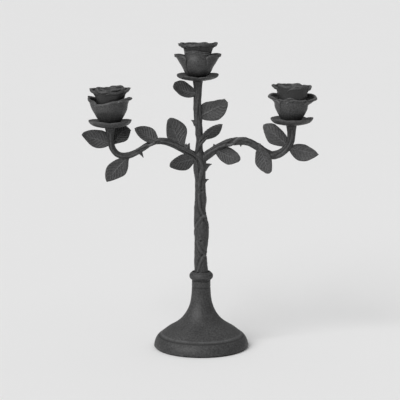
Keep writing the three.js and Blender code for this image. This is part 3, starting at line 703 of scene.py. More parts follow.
# The same for the ruffled petals round each candle.
RIM_ROOT = [(14.6, 18.4), (15.0, 24.0)]
RIM_PETALS = {
    "centre": [
        (16, 40, [(15.4, 34.0), (17.2, 40.0), (24.6, 45.4)],
         [(15.2, 34.0), (16.6, 39.6), (20.8, 43.4)], (2, 1), 0.0),
        (80, 42, [(15.4, 34.0), (18.4, 40.0), (22.8, 44.8)],
         [(15.2, 34.0), (17.0, 39.6), (20.6, 43.8)], (2, 1), 0.0),
        (140, 40, [(15.4, 34.0), (17.4, 40.0), (23.6, 45.0)],
         [(15.2, 34.0), (16.8, 39.6), (20.8, 43.6)], (2, 1), 0.0),
        (192, 38, [(15.4, 34.0), (16.8, 39.4), (24.0, 44.8)],
         [(15.2, 34.0), (16.8, 39.4), (20.6, 43.8)], (2, 1), 0.0),
        (238, 42, [(15.8, 33.0), (17.4, 39.4), (19.8, 45.0)],
         [(15.6, 33.0), (17.2, 39.4), (19.4, 45.2)], (2, 1), -0.8),
        (304, 48, [(15.8, 33.0), (17.4, 39.4), (20.0, 45.5)],
         [(15.6, 33.0), (17.2, 39.4), (19.6, 45.2)], (2, 1), 0.0),
    ],
    "left": [
        (4, 42, [(15.4, 36.0), (17.6, 41.0), (22.6, 46.6), (25.4, 48.0)],
         [(15.2, 36.0), (16.8, 41.0), (20.0, 45.0), (21.2, 46.4)], (2, 1), 2.0),
        (62, 42, [(15.4, 36.0), (18.6, 43.0), (21.0, 50.2)],
         [(15.2, 36.0), (17.0, 42.0), (20.4, 46.0)], (2, 1), 0.0),
        (122, 42, [(15.4, 36.0), (18.6, 43.0), (22.4, 47.8)],
         [(15.2, 36.0), (17.0, 42.0), (20.4, 46.0)], (2, 1), 0.0),
        (184, 46, [(15.4, 34.0), (17.8, 39.6), (22.6, 45.8), (24.4, 47.6)],
         [(15.2, 34.0), (17.0, 39.4), (20.6, 44.6), (22.0, 45.8)], (3, 1), -2.0),
        (236, 42, [(16.4, 33.0), (18.2, 39.5), (20.6, 46.9)],
         [(16.2, 33.0), (17.8, 39.5), (20.2, 47.2)], (3, 1), -1.4),
        (302, 48, [(16.6, 33.0), (18.6, 39.5), (20.4, 45.6)],
         [(16.4, 33.0), (18.2, 39.5), (19.8, 46.2)], (3, 1), 3.0),
    ],
    "right": [
        (12, 44, [(16.4, 34.0), (18.2, 40.1), (21.6, 45.2), (24.4, 47.6)],
         [(16.2, 34.0), (17.4, 39.3), (19.4, 44.0), (21.0, 46.4)], (2, 1), 2.6),
        (78, 40, [(15.4, 35.3), (18.4, 44.0), (21.4, 49.2)],
         [(15.2, 35.3), (17.0, 43.0), (20.0, 47.2)], (2, 1), 0.0),
        (130, 36, [(15.4, 35.3), (18.4, 44.0), (21.4, 49.6)],
         [(15.2, 35.3), (17.0, 43.0), (20.0, 46.4)], (2, 1), 0.0),
        (178, 36, [(15.4, 35.3), (17.6, 43.0), (22.2, 48.0), (24.8, 48.4)],
         [(15.2, 35.3), (16.6, 42.0), (19.2, 46.0), (20.8, 47.0)], (2, 1), -2.0),
        (232, 44, [(17.6, 32.0), (18.4, 39.3), (18.9, 45.0), (18.4, 50.0)],
         [(17.2, 32.0), (17.8, 39.3), (18.0, 44.4), (17.4, 48.4)], (2, 1), -2.2),
        (296, 48, [(18.2, 32.0), (19.2, 38.6), (19.8, 43.6), (19.6, 48.2)],
         [(17.8, 32.0), (18.4, 39.0), (19.0, 43.6), (19.0, 47.6)], (2, 1), 3.4),
    ],
}
# The small petals round the candle, heights of the crowns' rims, how much shade is painted on a crown's
# petals below their rims, and the candle's bore and its floor.
INNER_PETALS = 5
CROWN_RIMS = {"left": 49.5, "centre": 46.0, "right": 50.0}
CROWN_SHADE = 0.5
CANDLE_RADIUS = 11.0
CANDLE_FLOOR = 21.0

# Each drip pan's rim height, its turn from the back in degrees, and how it draws in, draws down and sharpens
# between its five petals.
PAN_FORMS = {
    "left": (9.0, 40.0, 2.2, 1.1, 3),
    "centre": (7.0, 36.0, 5.2, 2.2, 1.4),
    "right": (8.6, 20.0, 2.2, 1.1, 3),
}
# Radii of a pan's petals, of its flat middle and of the recess for its nut.
PAN_RADIUS = 26.6
PAN_FLAT = 15.0
NUT_RECESS = 5.0
# Points of a pan's section as shares of the way from its flat middle to its rim, across and up: the open
# underside of the centre pan, the bowl-shaped one of the side pans, and the top from the rim inwards.
PAN_UNDERSIDES = {
    "open": ((0.32, 0.17), (0.62, 0.40), (0.84, 0.66), (0.96, 0.87)),
    "bowl": ((0.40, 0.13), (0.70, 0.33), (0.90, 0.62), (0.99, 0.86)),
}
PAN_TOP = ((0.82, 0.76), (0.56, 0.42), (0.30, 0.16))

# How far a stud reaches down its branch, and its thread's pitch.
STUD_REACH = 8.0
THREAD_PITCH = 0.8


def branch_end(name):
    """Where a rose's axis meets the end of its branch, from the rose's stud."""
    low, high = box_mm("cup_stud_" + name)
    middle = (low + high) / 2
    return np.array([middle[0], middle[1], low[2] + STUD_REACH])


def petal_shell(root, petal, half_thickness, seed, shade=0.0):
    """Petal: a strip round the cup's axis. Each of its upright sections is a smooth line through the root
    points, then (1 - |u|^a)^b of the way from the side line to the middle line, u from -1 to 1 across. Its
    upper corners are rounded by shortening the sections near its sides by |u|^8, its rim is rolled thicker,
    and slow sine ripples run along it. shade is painted shade: it lowers the paint's mark under the rim, so
    the paint is darker there."""
    direction, spread, tip, edge, (power, sharpness), tilt = petal
    tip_line = along_points(root + tip, 60)[0]
    edge_line = along_points(root + edge, 60)[0]
    share = np.linspace(0, 1, 60)

    def middle(v, u):
        across = np.clip(np.abs(u), 0, 1)
        reach = v * (1 - 0.10 * across**8)
        blend = (1 - across**power) ** sharpness
        side_line = spline(share, edge_line, reach)
        mid_line = spline(share, tip_line, reach)
        radius, height = np.moveaxis(side_line + (mid_line - side_line) * blend[..., None], -1, 0)
        rim = smooth((v - 0.45) / 0.55)
        ripple = np.sin(5.2 * u + seed) * np.clip(1 - blend, 0.15, 1)
        radius = radius + 0.5 * rim * ripple + 0.45 * u * (1 - 0.5 * v)
        height = height + rim * (0.5 * np.sin(6.1 * u + 2 * seed) + 0.5 * tilt * u)
        turn = np.radians(direction + spread * u * (0.86 + 0.14 * v))
        return np.stack([radius * np.cos(turn), radius * np.sin(turn), height], -1)

    def thickness(v, u):
        roll = 1 + 1.1 * hump(v - 0.925, 0.04) + 0.25 * hump(np.abs(u) - 0.93, 0.07)
        return half_thickness * roll * (0.45 + 0.55 * np.sqrt(np.clip((1 - v) / 0.05, 0, 1)))

    rings, v, u = sheet_rings(middle, thickness, 64, 112)
    # The petal's paint: the rolled rim and the side edges are paler, partly rubbed paint and partly a painted
    # highlight, less so on petals whose power a is 1; streaks change the tone; the part by the root, and with
    # shade the part under the rim, are painted darker as painted shade.
    fold = (0.3 if power == 1 else 1.0) * hump(v - 0.94, 0.045) + 0.2 * hump(np.abs(u) - 0.96, 0.05)
    streak = 0.08 * np.sin(34 * u + 3 * np.sin(5 * u + seed)) * smooth(v * 3)
    low = np.maximum(0.44 * (1 - smooth(v / 0.42)), shade * (1 - 0.8 * smooth((v - 0.93) / 0.05)))
    return shell(rings, "strip", 0.5 + (0.42 - 0.3 * shade) * fold + streak - low)


def in_place(shells, spot):
    """Closed shells moved to a spot."""
    return [(points + spot, quads, triangles, wear_and_shading) for points, quads, triangles, wear_and_shading in shells]


def petal_cup_shells(name, petal_thickness):
    """Lower whorl: a closed turned bowl bored for the stud from below, and its overlapping petals."""
    profile = [
        (0.1, 9.6), (STUD_HOLE, 9.6), (STUD_HOLE, 4.4), (7.4, 4.35), (9.8, 5.6), (11.4, 8.0), (13.6, 12.4),
        (16.4, 18.0), (17.8, 23.0), (17.7, 26.0), (17.2, 27.6), (16.4, 27.4), (16.1, 24.0), (16.1, 18.2),
        (15.4, 17.5), (0.1, 17.5),
    ]
    body = revolved(profile, 96)
    petals = [
        petal_shell(CUP_ROOTS[name], petal, petal_thickness / 2, number)
        for number, petal in enumerate(CUP_PETALS[name])
    ]
    # The bowl inside the petals is painted darker all over, a painted shade.
    wear_and_shading = np.full(body.shape[:2], 0.3)
    return in_place([shell(body, "fan", wear_and_shading)] + petals, branch_end(name))


def candle_cup_shells(name, petal_thickness):
    """Upper whorl: a closed turned cup with the candle's bore and lip, six ruffled petals that flare from
    it, and smaller petals wrapped round the mouth between them."""
    rim = CROWN_RIMS[name]
    profile = [
        (0.1, 17.8), (14.3, 17.8), (14.9, 18.6), (15.1, rim - 17), (15.6, rim - 12), (17.0, rim - 8),
        (17.4, rim - 6), (16.4, rim - 4.6), (14.2, rim - 3.8), (12.4, rim - 3.1), (11.6, rim - 3.1),
        (CANDLE_RADIUS, rim - 3.8), (CANDLE_RADIUS, CANDLE_FLOOR), (0.1, CANDLE_FLOOR),
    ]
    body = revolved(profile, 96)
    # The crown's turned cup is painted darker all over as painted shade, except on a ring at the lip of its
    # mouth.
    lip = hump(body[..., 2] - rim + 3.2, 0.5) * 0.3
    petals = [
        petal_shell(RIM_ROOT, petal, petal_thickness / 2, number + 4, CROWN_SHADE)
        for number, petal in enumerate(RIM_PETALS[name])
    ]
    root = [(13.6, rim - 14), (13.7, rim - 10)]
    line = [(13.8, rim - 6), (14.6, rim - 3.4), (16.8, rim - 2.0)]
    side = [(13.6, rim - 7), (13.8, rim - 5), (14.4, rim - 3.6)]
    for number in range(INNER_PETALS):
        petal = (360 / INNER_PETALS * number + 20, 44, line, side, (2, 1), 0.0)
        petals.append(petal_shell(root, petal, petal_thickness / 2.4, number + 11))
    return in_place([shell(body, "fan", 0.25 + lip)] + petals, branch_end(name))


def pan_shells(name, ripple):
    """Drip pan: a saucer round the stud's hole with a recess for the nut below. Its section is a smooth line
    through points set at each turn. Its rim is drawn in and down between five petals, by |c|^n with c from
    -1 to 1 across a petal, and each petal's edge steps over the next one's. The centre pan is also notched
    at the front, raised at the back and lower at its sides."""
    rise, start, draw_in, draw_down, power = PAN_FORMS[name]
    turn = np.linspace(0, 2 * np.pi, 240, endpoint=False)
    phase = (turn - np.radians(90.0 + start)) / (2 * np.pi) * 5
    across = (phase % 1) * 2 - 1
    dip = np.abs(across) ** power
    step = (phase % 1) * smooth((1 - phase % 1) / 0.06)
    notch = 0.0
    edge = rise - draw_down * dip + ripple * np.sin(3 * turn + rise)
    if name == "centre":
        notch = 2.6 * hump(turn - 1.5 * np.pi, 0.4)
        back = np.sin(turn)
        edge = edge + 3.4 * np.maximum(back, 0) + 0.5 * np.minimum(back, 0) - 1.4 * np.cos(turn) ** 4
    rim = PAN_RADIUS - (draw_in + notch) * dip

    one = np.ones(len(turn))
    under = PAN_UNDERSIDES["open" if name == "centre" else "bowl"]
    foot, top = 0.95, 4.25
    sharp = np.array([
        (STUD_HOLE * one, 3.0 * one), (NUT_RECESS * one, 3.0 * one), (NUT_RECESS * one, 0.0 * one),
        (7.0 * one, 0.0 * one),
    ])
    curved = np.array([
        (11.5 * one, 0.25 * one), (PAN_FLAT * one, foot * one),
        *[(PAN_FLAT + out * (rim - PAN_FLAT), foot + up * (edge - foot)) for out, up in under],
        (rim, edge - 0.1), (rim - 0.3, edge + 0.35), (rim - 1.0, edge + 0.3),
        *[
            (PAN_FLAT + out * (rim - 1.0 - PAN_FLAT), top + up * (edge + 0.3 - top) + 0.5 * step)
            for out, up in PAN_TOP
        ],
        (PAN_FLAT * one, top + 0.3 * step), (12.0 * one, 4.0 * one),
    ])
    curved = spline(np.linspace(0, 1, len(curved)), curved, np.linspace(0, 1, 72))
    section = np.concatenate([sharp, curved, [(STUD_HOLE * one, 4.0 * one)]])
    radius, height = section[:, 0], section[:, 1]

    upper = smooth((height - 2.5 - (radius - 12) * 0.2) / 0.8) * smooth((radius - 12.5) / 2)
    ribs = hump((across * 4 + 0.5) % 1 - 0.5, 0.14) * upper * smooth((rim - radius) / 2)
    rings = np.stack([radius * np.cos(turn), radius * np.sin(turn), height + 0.22 * ribs], -1)
    rings += unit(rings * [1.0, 1.0, 0.0]) * (0.15 * unevenness(rings, scale=12.0, seed=21))[..., None]
    # The pan's paint is darkened all over as painted shade, less on its ribs, and the edge of its rim is left
    # a little paler.
    lip = hump(radius - rim, 0.7)
    return in_place([shell(rings, "loop", 0.26 + 0.4 * lip + 0.2 * ribs)], branch_end(name))


def stud_shells(name):
    """Screwed stud: a threaded rod, its ends chamfered."""
    low, high = box_mm("cup_stud_" + name)
    spot = branch_end(name)
    bottom, top = low[2] - spot[2], high[2] - spot[2]
    chamfer = 0.4
    middle = np.linspace(bottom + chamfer, top - chamfer, 230)
    heights = np.concatenate([[bottom, bottom], middle, [top, top]])
    turn = np.linspace(0, 2 * np.pi, 36, endpoint=False)
    radius = np.empty((len(heights), len(turn)))
    radius[2:-2] = thread(middle[:, None], turn, radius=2.5, depth=0.42, pitch=THREAD_PITCH)
    radius[[0, -1]] = 0.1
    radius[[1, -2]] = 2.0
    return in_place([shell(around(radius, heights, turn))], spot)


def nut_shells(name):
    """Jam nut: a hexagon with chamfered corners round a plain hole."""
    low, high = box_mm("jam_nut_" + name)
    spot = branch_end(name)
    bottom, top = low[2] - spot[2], high[2] - spot[2]
    chamfer = 0.4
    turn = np.linspace(0, 2 * np.pi, 72, endpoint=False)
    hole = 2.75 + 0 * turn
    sides = hexagon(turn, flats=8.0)
    blunt = np.minimum(sides, 4.15)
    heights = np.array([bottom, bottom, bottom + chamfer, top - chamfer, top, top])
    radius = np.array([hole, blunt, sides, sides, blunt, hole])
    return in_place([shell(around(radius, heights, turn), "loop")], spot)


# ---------------------------------------------------------------------------------------------------
# Finishes
# ---------------------------------------------------------------------------------------------------


def blank_material(name):
    """A new material with no nodes yet."""
    material = bpy.data.materials.new(name)
    material.use_nodes = True
    material.node_tree.nodes.clear()
    return material


def cast_metal(name, colour, rubbed_and_highlight, roughness, grain, grain_depth):
    """Matt painted casting: broad and fine changes of tone, paler rubbed ridges with painted highlights,
    painted shade in hollows, uneven gloss, sand grain (grain cells to the metre, grain_depth metres deep) and
    small pits."""
    if name in bpy.data.materials:
        return bpy.data.materials[name]
    material = blank_material(name)
    nodes, links = material.node_tree.nodes, material.node_tree.links

    output = nodes.new("ShaderNodeOutputMaterial")
    output.label = "Casting surface"
    output.location = (900, 0)
    shader = nodes.new("ShaderNodeBsdfPrincipled")
    shader.label = "Painted cast metal"
    shader.location = (600, 0)
    coords = nodes.new("ShaderNodeTexCoord")
    coords.label = "Place on the casting"
    coords.location = (-1500, 0)
    wear_and_shading = nodes.new("ShaderNodeAttribute")
    wear_and_shading.label = "Rubbed, highlighted and shaded places"
    wear_and_shading.location = (-1500, 400)

    colour_frame = nodes.new("NodeFrame")
    colour_frame.label = "Paint tone"
    wear_and_shading_frame = nodes.new("NodeFrame")
    wear_and_shading_frame.label = "Rubbed ridges, painted highlights and painted shade"
    gloss_frame = nodes.new("NodeFrame")
    gloss_frame.label = "Uneven gloss"
    surface_frame = nodes.new("NodeFrame")
    surface_frame.label = "Sand grain and pits"

    tone = nodes.new("ShaderNodeTexNoise")
    tone.label = "Broad tone"
    tone.location = (-1200, 700)
    tone.parent = colour_frame
    tone_ramp = nodes.new("ShaderNodeValToRGB")
    tone_ramp.label = "Thin to thick paint"
    tone_ramp.location = (-900, 700)
    tone_ramp.parent = colour_frame
    speckle = nodes.new("ShaderNodeTexNoise")
    speckle.label = "Fine speckle"
    speckle.location = (-1200, 950)
    speckle.parent = colour_frame
    speckle_ramp = nodes.new("ShaderNodeValToRGB")
    speckle_ramp.label = "Speckle strength"
    speckle_ramp.location = (-900, 950)
    speckle_ramp.parent = colour_frame
    speckled = nodes.new("ShaderNodeMix")
    speckled.label = "Speckled paint"
    speckled.location = (-550, 800)
    speckled.parent = colour_frame

    # Paler paint where the mark is high: rubbed paint on ridges, and painted highlights where the mark is
    # raised for them.
    rubbed = nodes.new("ShaderNodeMapRange")
    rubbed.label = "Ridges that rub"
    rubbed.location = (-1200, 400)
    rubbed.parent = wear_and_shading_frame
    patches = nodes.new("ShaderNodeTexNoise")
    patches.label = "Patches of rubbing"
    patches.location = (-1500, 200)
    patches.parent = wear_and_shading_frame
    patch_range = nodes.new("ShaderNodeMapRange")
    patch_range.label = "Patch edges"
    patch_range.location = (-1200, 200)
    patch_range.parent = wear_and_shading_frame
    rub_and_highlight = nodes.new("ShaderNodeMath")
    rub_and_highlight.label = "Rubbed and highlighted amount"
    rub_and_highlight.location = (-900, 350)
    rub_and_highlight.parent = wear_and_shading_frame
    rubbed_and_highlight_paint = nodes.new("ShaderNodeMix")
    rubbed_and_highlight_paint.label = "Rubbed paint and painted highlights"
    rubbed_and_highlight_paint.location = (-200, 600)
    rubbed_and_highlight_paint.parent = wear_and_shading_frame
    # Painted shade: where the mark is low the paint is mixed towards a dark copy of its colour, standing in
    # for shade in hollows and other shaded places.
    hollow = nodes.new("ShaderNodeMapRange")
    hollow.label = "Hollows with painted shade"
    hollow.location = (-900, 150)
    hollow.parent = wear_and_shading_frame
    hollow_shade_paint = nodes.new("ShaderNodeMix")
    hollow_shade_paint.label = "Paint with painted shade"
    hollow_shade_paint.location = (150, 500)
    hollow_shade_paint.parent = wear_and_shading_frame

    sheen_noise = nodes.new("ShaderNodeTexNoise")
    sheen_noise.label = "Gloss patches"
    sheen_noise.location = (-900, -150)
    sheen_noise.parent = gloss_frame
    gloss = nodes.new("ShaderNodeMapRange")
    gloss.label = "Roughness range"
    gloss.location = (-600, -150)
    gloss.parent = gloss_frame
    polish = nodes.new("ShaderNodeMath")
    polish.label = "Rubbed places shine"
    polish.location = (-250, -100)
    polish.parent = gloss_frame

    sand = nodes.new("ShaderNodeTexNoise")
    sand.label = "Sand grain"
    sand.location = (-900, -450)
    sand.parent = surface_frame
    sand_bump = nodes.new("ShaderNodeBump")
    sand_bump.label = "Grain height"
    sand_bump.location = (-250, -450)
    sand_bump.parent = surface_frame
    pit_cells = nodes.new("ShaderNodeTexVoronoi")
    pit_cells.label = "Pit places"
    pit_cells.location = (-900, -750)
    pit_cells.parent = surface_frame
    pit_range = nodes.new("ShaderNodeMapRange")
    pit_range.label = "Pit size"
    pit_range.location = (-600, -750)
    pit_range.parent = surface_frame
    pit_bump = nodes.new("ShaderNodeBump")
    pit_bump.label = "Pit depth"
    pit_bump.location = (100, -550)
    pit_bump.parent = surface_frame

    base = np.array(colour)
    wear_and_shading.attribute_name = "wear_and_shading"
    tone.inputs["Scale"].default_value = 38.0
    tone.inputs["Detail"].default_value = 3.0
    tone_ramp.color_ramp.elements[0].position = 0.32
    tone_ramp.color_ramp.elements[0].color = (*(base * 0.94), 1.0)
    tone_ramp.color_ramp.elements[1].position = 0.70
    tone_ramp.color_ramp.elements[1].color = (*(base * 1.3), 1.0)
    speckle.inputs["Scale"].default_value = grain * 0.8
    speckle.inputs["Detail"].default_value = 4.0
    speckle_ramp.color_ramp.elements[0].position = 0.34
    speckle_ramp.color_ramp.elements[0].color = (0.32, 0.32, 0.32, 1.0)
    speckle_ramp.color_ramp.elements[1].position = 0.68
    speckle_ramp.color_ramp.elements[1].color = (1.0, 1.0, 1.0, 1.0)
    speckled.data_type = "RGBA"
    speckled.blend_type = "MULTIPLY"
    speckled.inputs["Factor"].default_value = 0.85
    rubbed.inputs["From Min"].default_value = 0.56
    rubbed.inputs["From Max"].default_value = 0.95
    patches.inputs["Scale"].default_value = 190.0
    patches.inputs["Detail"].default_value = 5.0
    patch_range.inputs["From Min"].default_value = 0.30
    patch_range.inputs["From Max"].default_value = 0.62
    patch_range.inputs["To Min"].default_value = 0.25
    rub_and_highlight.operation = "MULTIPLY"
    rubbed_and_highlight_paint.data_type = "RGBA"
    rubbed_and_highlight_paint.inputs["B"].default_value = (*rubbed_and_highlight, 1.0)
    # Painted shade in hollows: marks from 0.46 down to 0.10 darken the paint up to 0.85 of the way towards 0.3
    # of its colour.
    hollow.inputs["From Min"].default_value = 0.46
    hollow.inputs["From Max"].default_value = 0.10
    hollow.inputs["To Max"].default_value = 0.85
    hollow_shade_paint.data_type = "RGBA"
    hollow_shade_paint.inputs["B"].default_value = (*(base * 0.30), 1.0)
    sheen_noise.inputs["Scale"].default_value = 90.0
    sheen_noise.inputs["Detail"].default_value = 4.0
    gloss.inputs["To Min"].default_value = roughness - 0.13
    gloss.inputs["To Max"].default_value = roughness + 0.05
    polish.operation = "MULTIPLY_ADD"
    polish.inputs[1].default_value = -0.12
    sand.inputs["Scale"].default_value = grain
    sand.inputs["Detail"].default_value = 5.0
    sand.inputs["Roughness"].default_value = 0.62
    sand_bump.inputs["Strength"].default_value = 0.55
    sand_bump.inputs["Distance"].default_value = grain_depth
    pit_cells.inputs["Scale"].default_value = grain * 0.3
    pit_range.inputs["From Min"].default_value = 0.05
    pit_range.inputs["From Max"].default_value = 0.30
    pit_bump.inputs["Strength"].default_value = 0.35
    pit_bump.inputs["Distance"].default_value = grain_depth * 0.8
    shader.inputs["Specular IOR Level"].default_value = 0.36

    links.new(coords.outputs["Object"], tone.inputs["Vector"])
    links.new(coords.outputs["Object"], speckle.inputs["Vector"])
    links.new(coords.outputs["Object"], patches.inputs["Vector"])
    links.new(coords.outputs["Object"], sheen_noise.inputs["Vector"])
    links.new(coords.outputs["Object"], sand.inputs["Vector"])
    links.new(coords.outputs["Object"], pit_cells.inputs["Vector"])
    links.new(tone.outputs["Fac"], tone_ramp.inputs["Fac"])
    links.new(speckle.outputs["Fac"], speckle_ramp.inputs["Fac"])
    links.new(tone_ramp.outputs["Color"], speckled.inputs["A"])
    links.new(speckle_ramp.outputs["Color"], speckled.inputs["B"])
    links.new(wear_and_shading.outputs["Fac"], rubbed.inputs["Value"])
    links.new(patches.outputs["Fac"], patch_range.inputs["Value"])
    links.new(rubbed.outputs["Result"], rub_and_highlight.inputs[0])
    links.new(patch_range.outputs["Result"], rub_and_highlight.inputs[1])
    links.new(rub_and_highlight.outputs["Value"], rubbed_and_highlight_paint.inputs["Factor"])
    links.new(speckled.outputs["Result"], rubbed_and_highlight_paint.inputs["A"])
    links.new(wear_and_shading.outputs["Fac"], hollow.inputs["Value"])
    links.new(hollow.outputs["Result"], hollow_shade_paint.inputs["Factor"])
    links.new(rubbed_and_highlight_paint.outputs["Result"], hollow_shade_paint.inputs["A"])
    links.new(hollow_shade_paint.outputs["Result"], shader.inputs["Base Color"])
    links.new(sheen_noise.outputs["Fac"], gloss.inputs["Value"])
    links.new(rub_and_highlight.outputs["Value"], polish.inputs[0])
    links.new(gloss.outputs["Result"], polish.inputs[2])
    links.new(polish.outputs["Value"], shader.inputs["Roughness"])
    links.new(sand.outputs["Fac"], sand_bump.inputs["Height"])
    links.new(pit_cells.outputs["Distance"], pit_range.inputs["Value"])
    links.new(pit_range.outputs["Result"], pit_bump.inputs["Height"])
    links.new(sand_bump.outputs["Normal"], pit_bump.inputs["Normal"])
    links.new(pit_bump.outputs["Normal"], shader.inputs["Normal"])
    links.new(shader.outputs["BSDF"], output.inputs["Surface"])
    return material


def zinc_steel(name, colour):
    """Zinc plating: fine spangle in tone and gloss, with fine drawn lines in its surface."""
    if name in bpy.data.materials:
        return bpy.data.materials[name]
    material = blank_material(name)
    nodes, links = material.node_tree.nodes, material.node_tree.links

    output = nodes.new("ShaderNodeOutputMaterial")
    output.label = "Screw surface"
    output.location = (600, 0)
    shader = nodes.new("ShaderNodeBsdfPrincipled")
    shader.label = "Zinc plated steel"
    shader.location = (300, 0)
    coords = nodes.new("ShaderNodeTexCoord")
    coords.label = "Place on the screw"
    coords.location = (-1000, 0)
    plating_frame = nodes.new("NodeFrame")
    plating_frame.label = "Plating tone and gloss"
    scratch_frame = nodes.new("NodeFrame")
    scratch_frame.label = "Drawn lines"
    spangle = nodes.new("ShaderNodeTexVoronoi")
    spangle.label = "Zinc spangle"
    spangle.location = (-700, 200)
    spangle.parent = plating_frame
    plating = nodes.new("ShaderNodeValToRGB")
    plating.label = "Plating tone"
    plating.location = (-350, 250)
    plating.parent = plating_frame
    gloss = nodes.new("ShaderNodeMapRange")
    gloss.label = "Plating roughness"
    gloss.location = (-350, 0)
    gloss.parent = plating_frame
    lines = nodes.new("ShaderNodeTexNoise")
    lines.label = "Fine lines"
    lines.location = (-700, -300)
    lines.parent = scratch_frame
    line_bump = nodes.new("ShaderNodeBump")
    line_bump.label = "Line depth"
    line_bump.location = (-350, -300)
    line_bump.parent = scratch_frame

    base = np.array(colour)
    spangle.inputs["Scale"].default_value = 900.0
    plating.color_ramp.elements[0].color = (*(base * 0.72), 1.0)
    plating.color_ramp.elements[1].color = (*base, 1.0)
    gloss.inputs["To Min"].default_value = 0.26
    gloss.inputs["To Max"].default_value = 0.46
    lines.inputs["Scale"].default_value = 2600.0
    lines.inputs["Detail"].default_value = 3.0
    line_bump.inputs["Strength"].default_value = 0.3
    line_bump.inputs["Distance"].default_value = 0.00004
    shader.inputs["Metallic"].default_value = 0.9

    links.new(coords.outputs["Object"], spangle.inputs["Vector"])
    links.new(coords.outputs["Object"], lines.inputs["Vector"])
    links.new(spangle.outputs["Distance"], plating.inputs["Fac"])
    links.new(spangle.outputs["Distance"], gloss.inputs["Value"])
    links.new(lines.outputs["Fac"], line_bump.inputs["Height"])
    links.new(plating.outputs["Color"], shader.inputs["Base Color"])
    links.new(gloss.outputs["Result"], shader.inputs["Roughness"])
    links.new(line_bump.outputs["Normal"], shader.inputs["Normal"])
    links.new(shader.outputs["BSDF"], output.inputs["Surface"])
    return material


def pressed_felt(name, colour):
    """Wool felt: matted fibres in tone and height, with a soft sheen at grazing angles."""
    if name in bpy.data.materials:
        return bpy.data.materials[name]
    material = blank_material(name)
    nodes, links = material.node_tree.nodes, material.node_tree.links

    output = nodes.new("ShaderNodeOutputMaterial")
    output.label = "Felt surface"
    output.location = (600, 0)
    shader = nodes.new("ShaderNodeBsdfPrincipled")
    shader.label = "Wool felt"
    shader.location = (300, 0)
    coords = nodes.new("ShaderNodeTexCoord")
    coords.label = "Place on the felt"
    coords.location = (-1000, 0)
    fibre_frame = nodes.new("NodeFrame")
    fibre_frame.label = "Matted fibres"
    fibres = nodes.new("ShaderNodeTexNoise")
    fibres.label = "Fibres"
    fibres.location = (-700, 0)
    fibres.parent = fibre_frame
    fibre_tone = nodes.new("ShaderNodeValToRGB")
    fibre_tone.label = "Fibre tone"
    fibre_tone.location = (-350, 150)
    fibre_tone.parent = fibre_frame
    fibre_bump = nodes.new("ShaderNodeBump")
    fibre_bump.label = "Fibre height"
    fibre_bump.location = (-350, -200)
    fibre_bump.parent = fibre_frame

    base = np.array(colour)
    fibres.inputs["Scale"].default_value = 1500.0
    fibres.inputs["Detail"].default_value = 8.0
    fibres.inputs["Distortion"].default_value = 2.0
    fibre_tone.color_ramp.elements[0].position = 0.3
    fibre_tone.color_ramp.elements[0].color = (*(base * 0.6), 1.0)
    fibre_tone.color_ramp.elements[1].position = 0.7
    fibre_tone.color_ramp.elements[1].color = (*(base * 1.5), 1.0)
    fibre_bump.inputs["Strength"].default_value = 0.9
    fibre_bump.inputs["Distance"].default_value = 0.0003
    shader.inputs["Roughness"].default_value = 0.95
    shader.inputs["Sheen Weight"].default_value = 0.25

    links.new(coords.outputs["Object"], fibres.inputs["Vector"])
    links.new(fibres.outputs["Fac"], fibre_tone.inputs["Fac"])
    links.new(fibres.outputs["Fac"], fibre_bump.inputs["Height"])
    links.new(fibre_tone.outputs["Color"], shader.inputs["Base Color"])
    links.new(fibre_bump.outputs["Normal"], shader.inputs["Normal"])
    links.new(shader.outputs["BSDF"], output.inputs["Surface"])
    return material


def floor_paint(name, colour):
    """Pale matt floor with a barely seen mottle."""
    if name in bpy.data.materials:
        return bpy.data.materials[name]
    material = blank_material(name)
    nodes, links = material.node_tree.nodes, material.node_tree.links

    output = nodes.new("ShaderNodeOutputMaterial")
    output.label = "Floor surface"
    output.location = (600, 0)
    shader = nodes.new("ShaderNodeBsdfPrincipled")
    shader.label = "Matt floor"
    shader.location = (300, 0)
    coords = nodes.new("ShaderNodeTexCoord")
    coords.label = "Place on the floor"
    coords.location = (-1000, 0)
    mottle_frame = nodes.new("NodeFrame")
    mottle_frame.label = "Mottle"
    mottle = nodes.new("ShaderNodeTexNoise")
    mottle.label = "Cloudy mottle"
    mottle.location = (-700, 0)
    mottle.parent = mottle_frame
    mottle_tone = nodes.new("ShaderNodeValToRGB")
    mottle_tone.label = "Mottle tone"
    mottle_tone.location = (-350, 0)
    mottle_tone.parent = mottle_frame

    base = np.array(colour)
    mottle.inputs["Scale"].default_value = 3.0
    mottle_tone.color_ramp.elements[0].color = (*(base * 0.99), 1.0)
    mottle_tone.color_ramp.elements[1].color = (*base, 1.0)
    shader.inputs["Roughness"].default_value = 0.9
    shader.inputs["Specular IOR Level"].default_value = 0.1

    links.new(coords.outputs["Object"], mottle.inputs["Vector"])
    links.new(mottle.outputs["Fac"], mottle_tone.inputs["Fac"])
    links.new(mottle_tone.outputs["Color"], shader.inputs["Base Color"])
    links.new(shader.outputs["BSDF"], output.inputs["Surface"])
    return material


# ---------------------------------------------------------------------------------------------------
# Settings, operators and panel
# ---------------------------------------------------------------------------------------------------


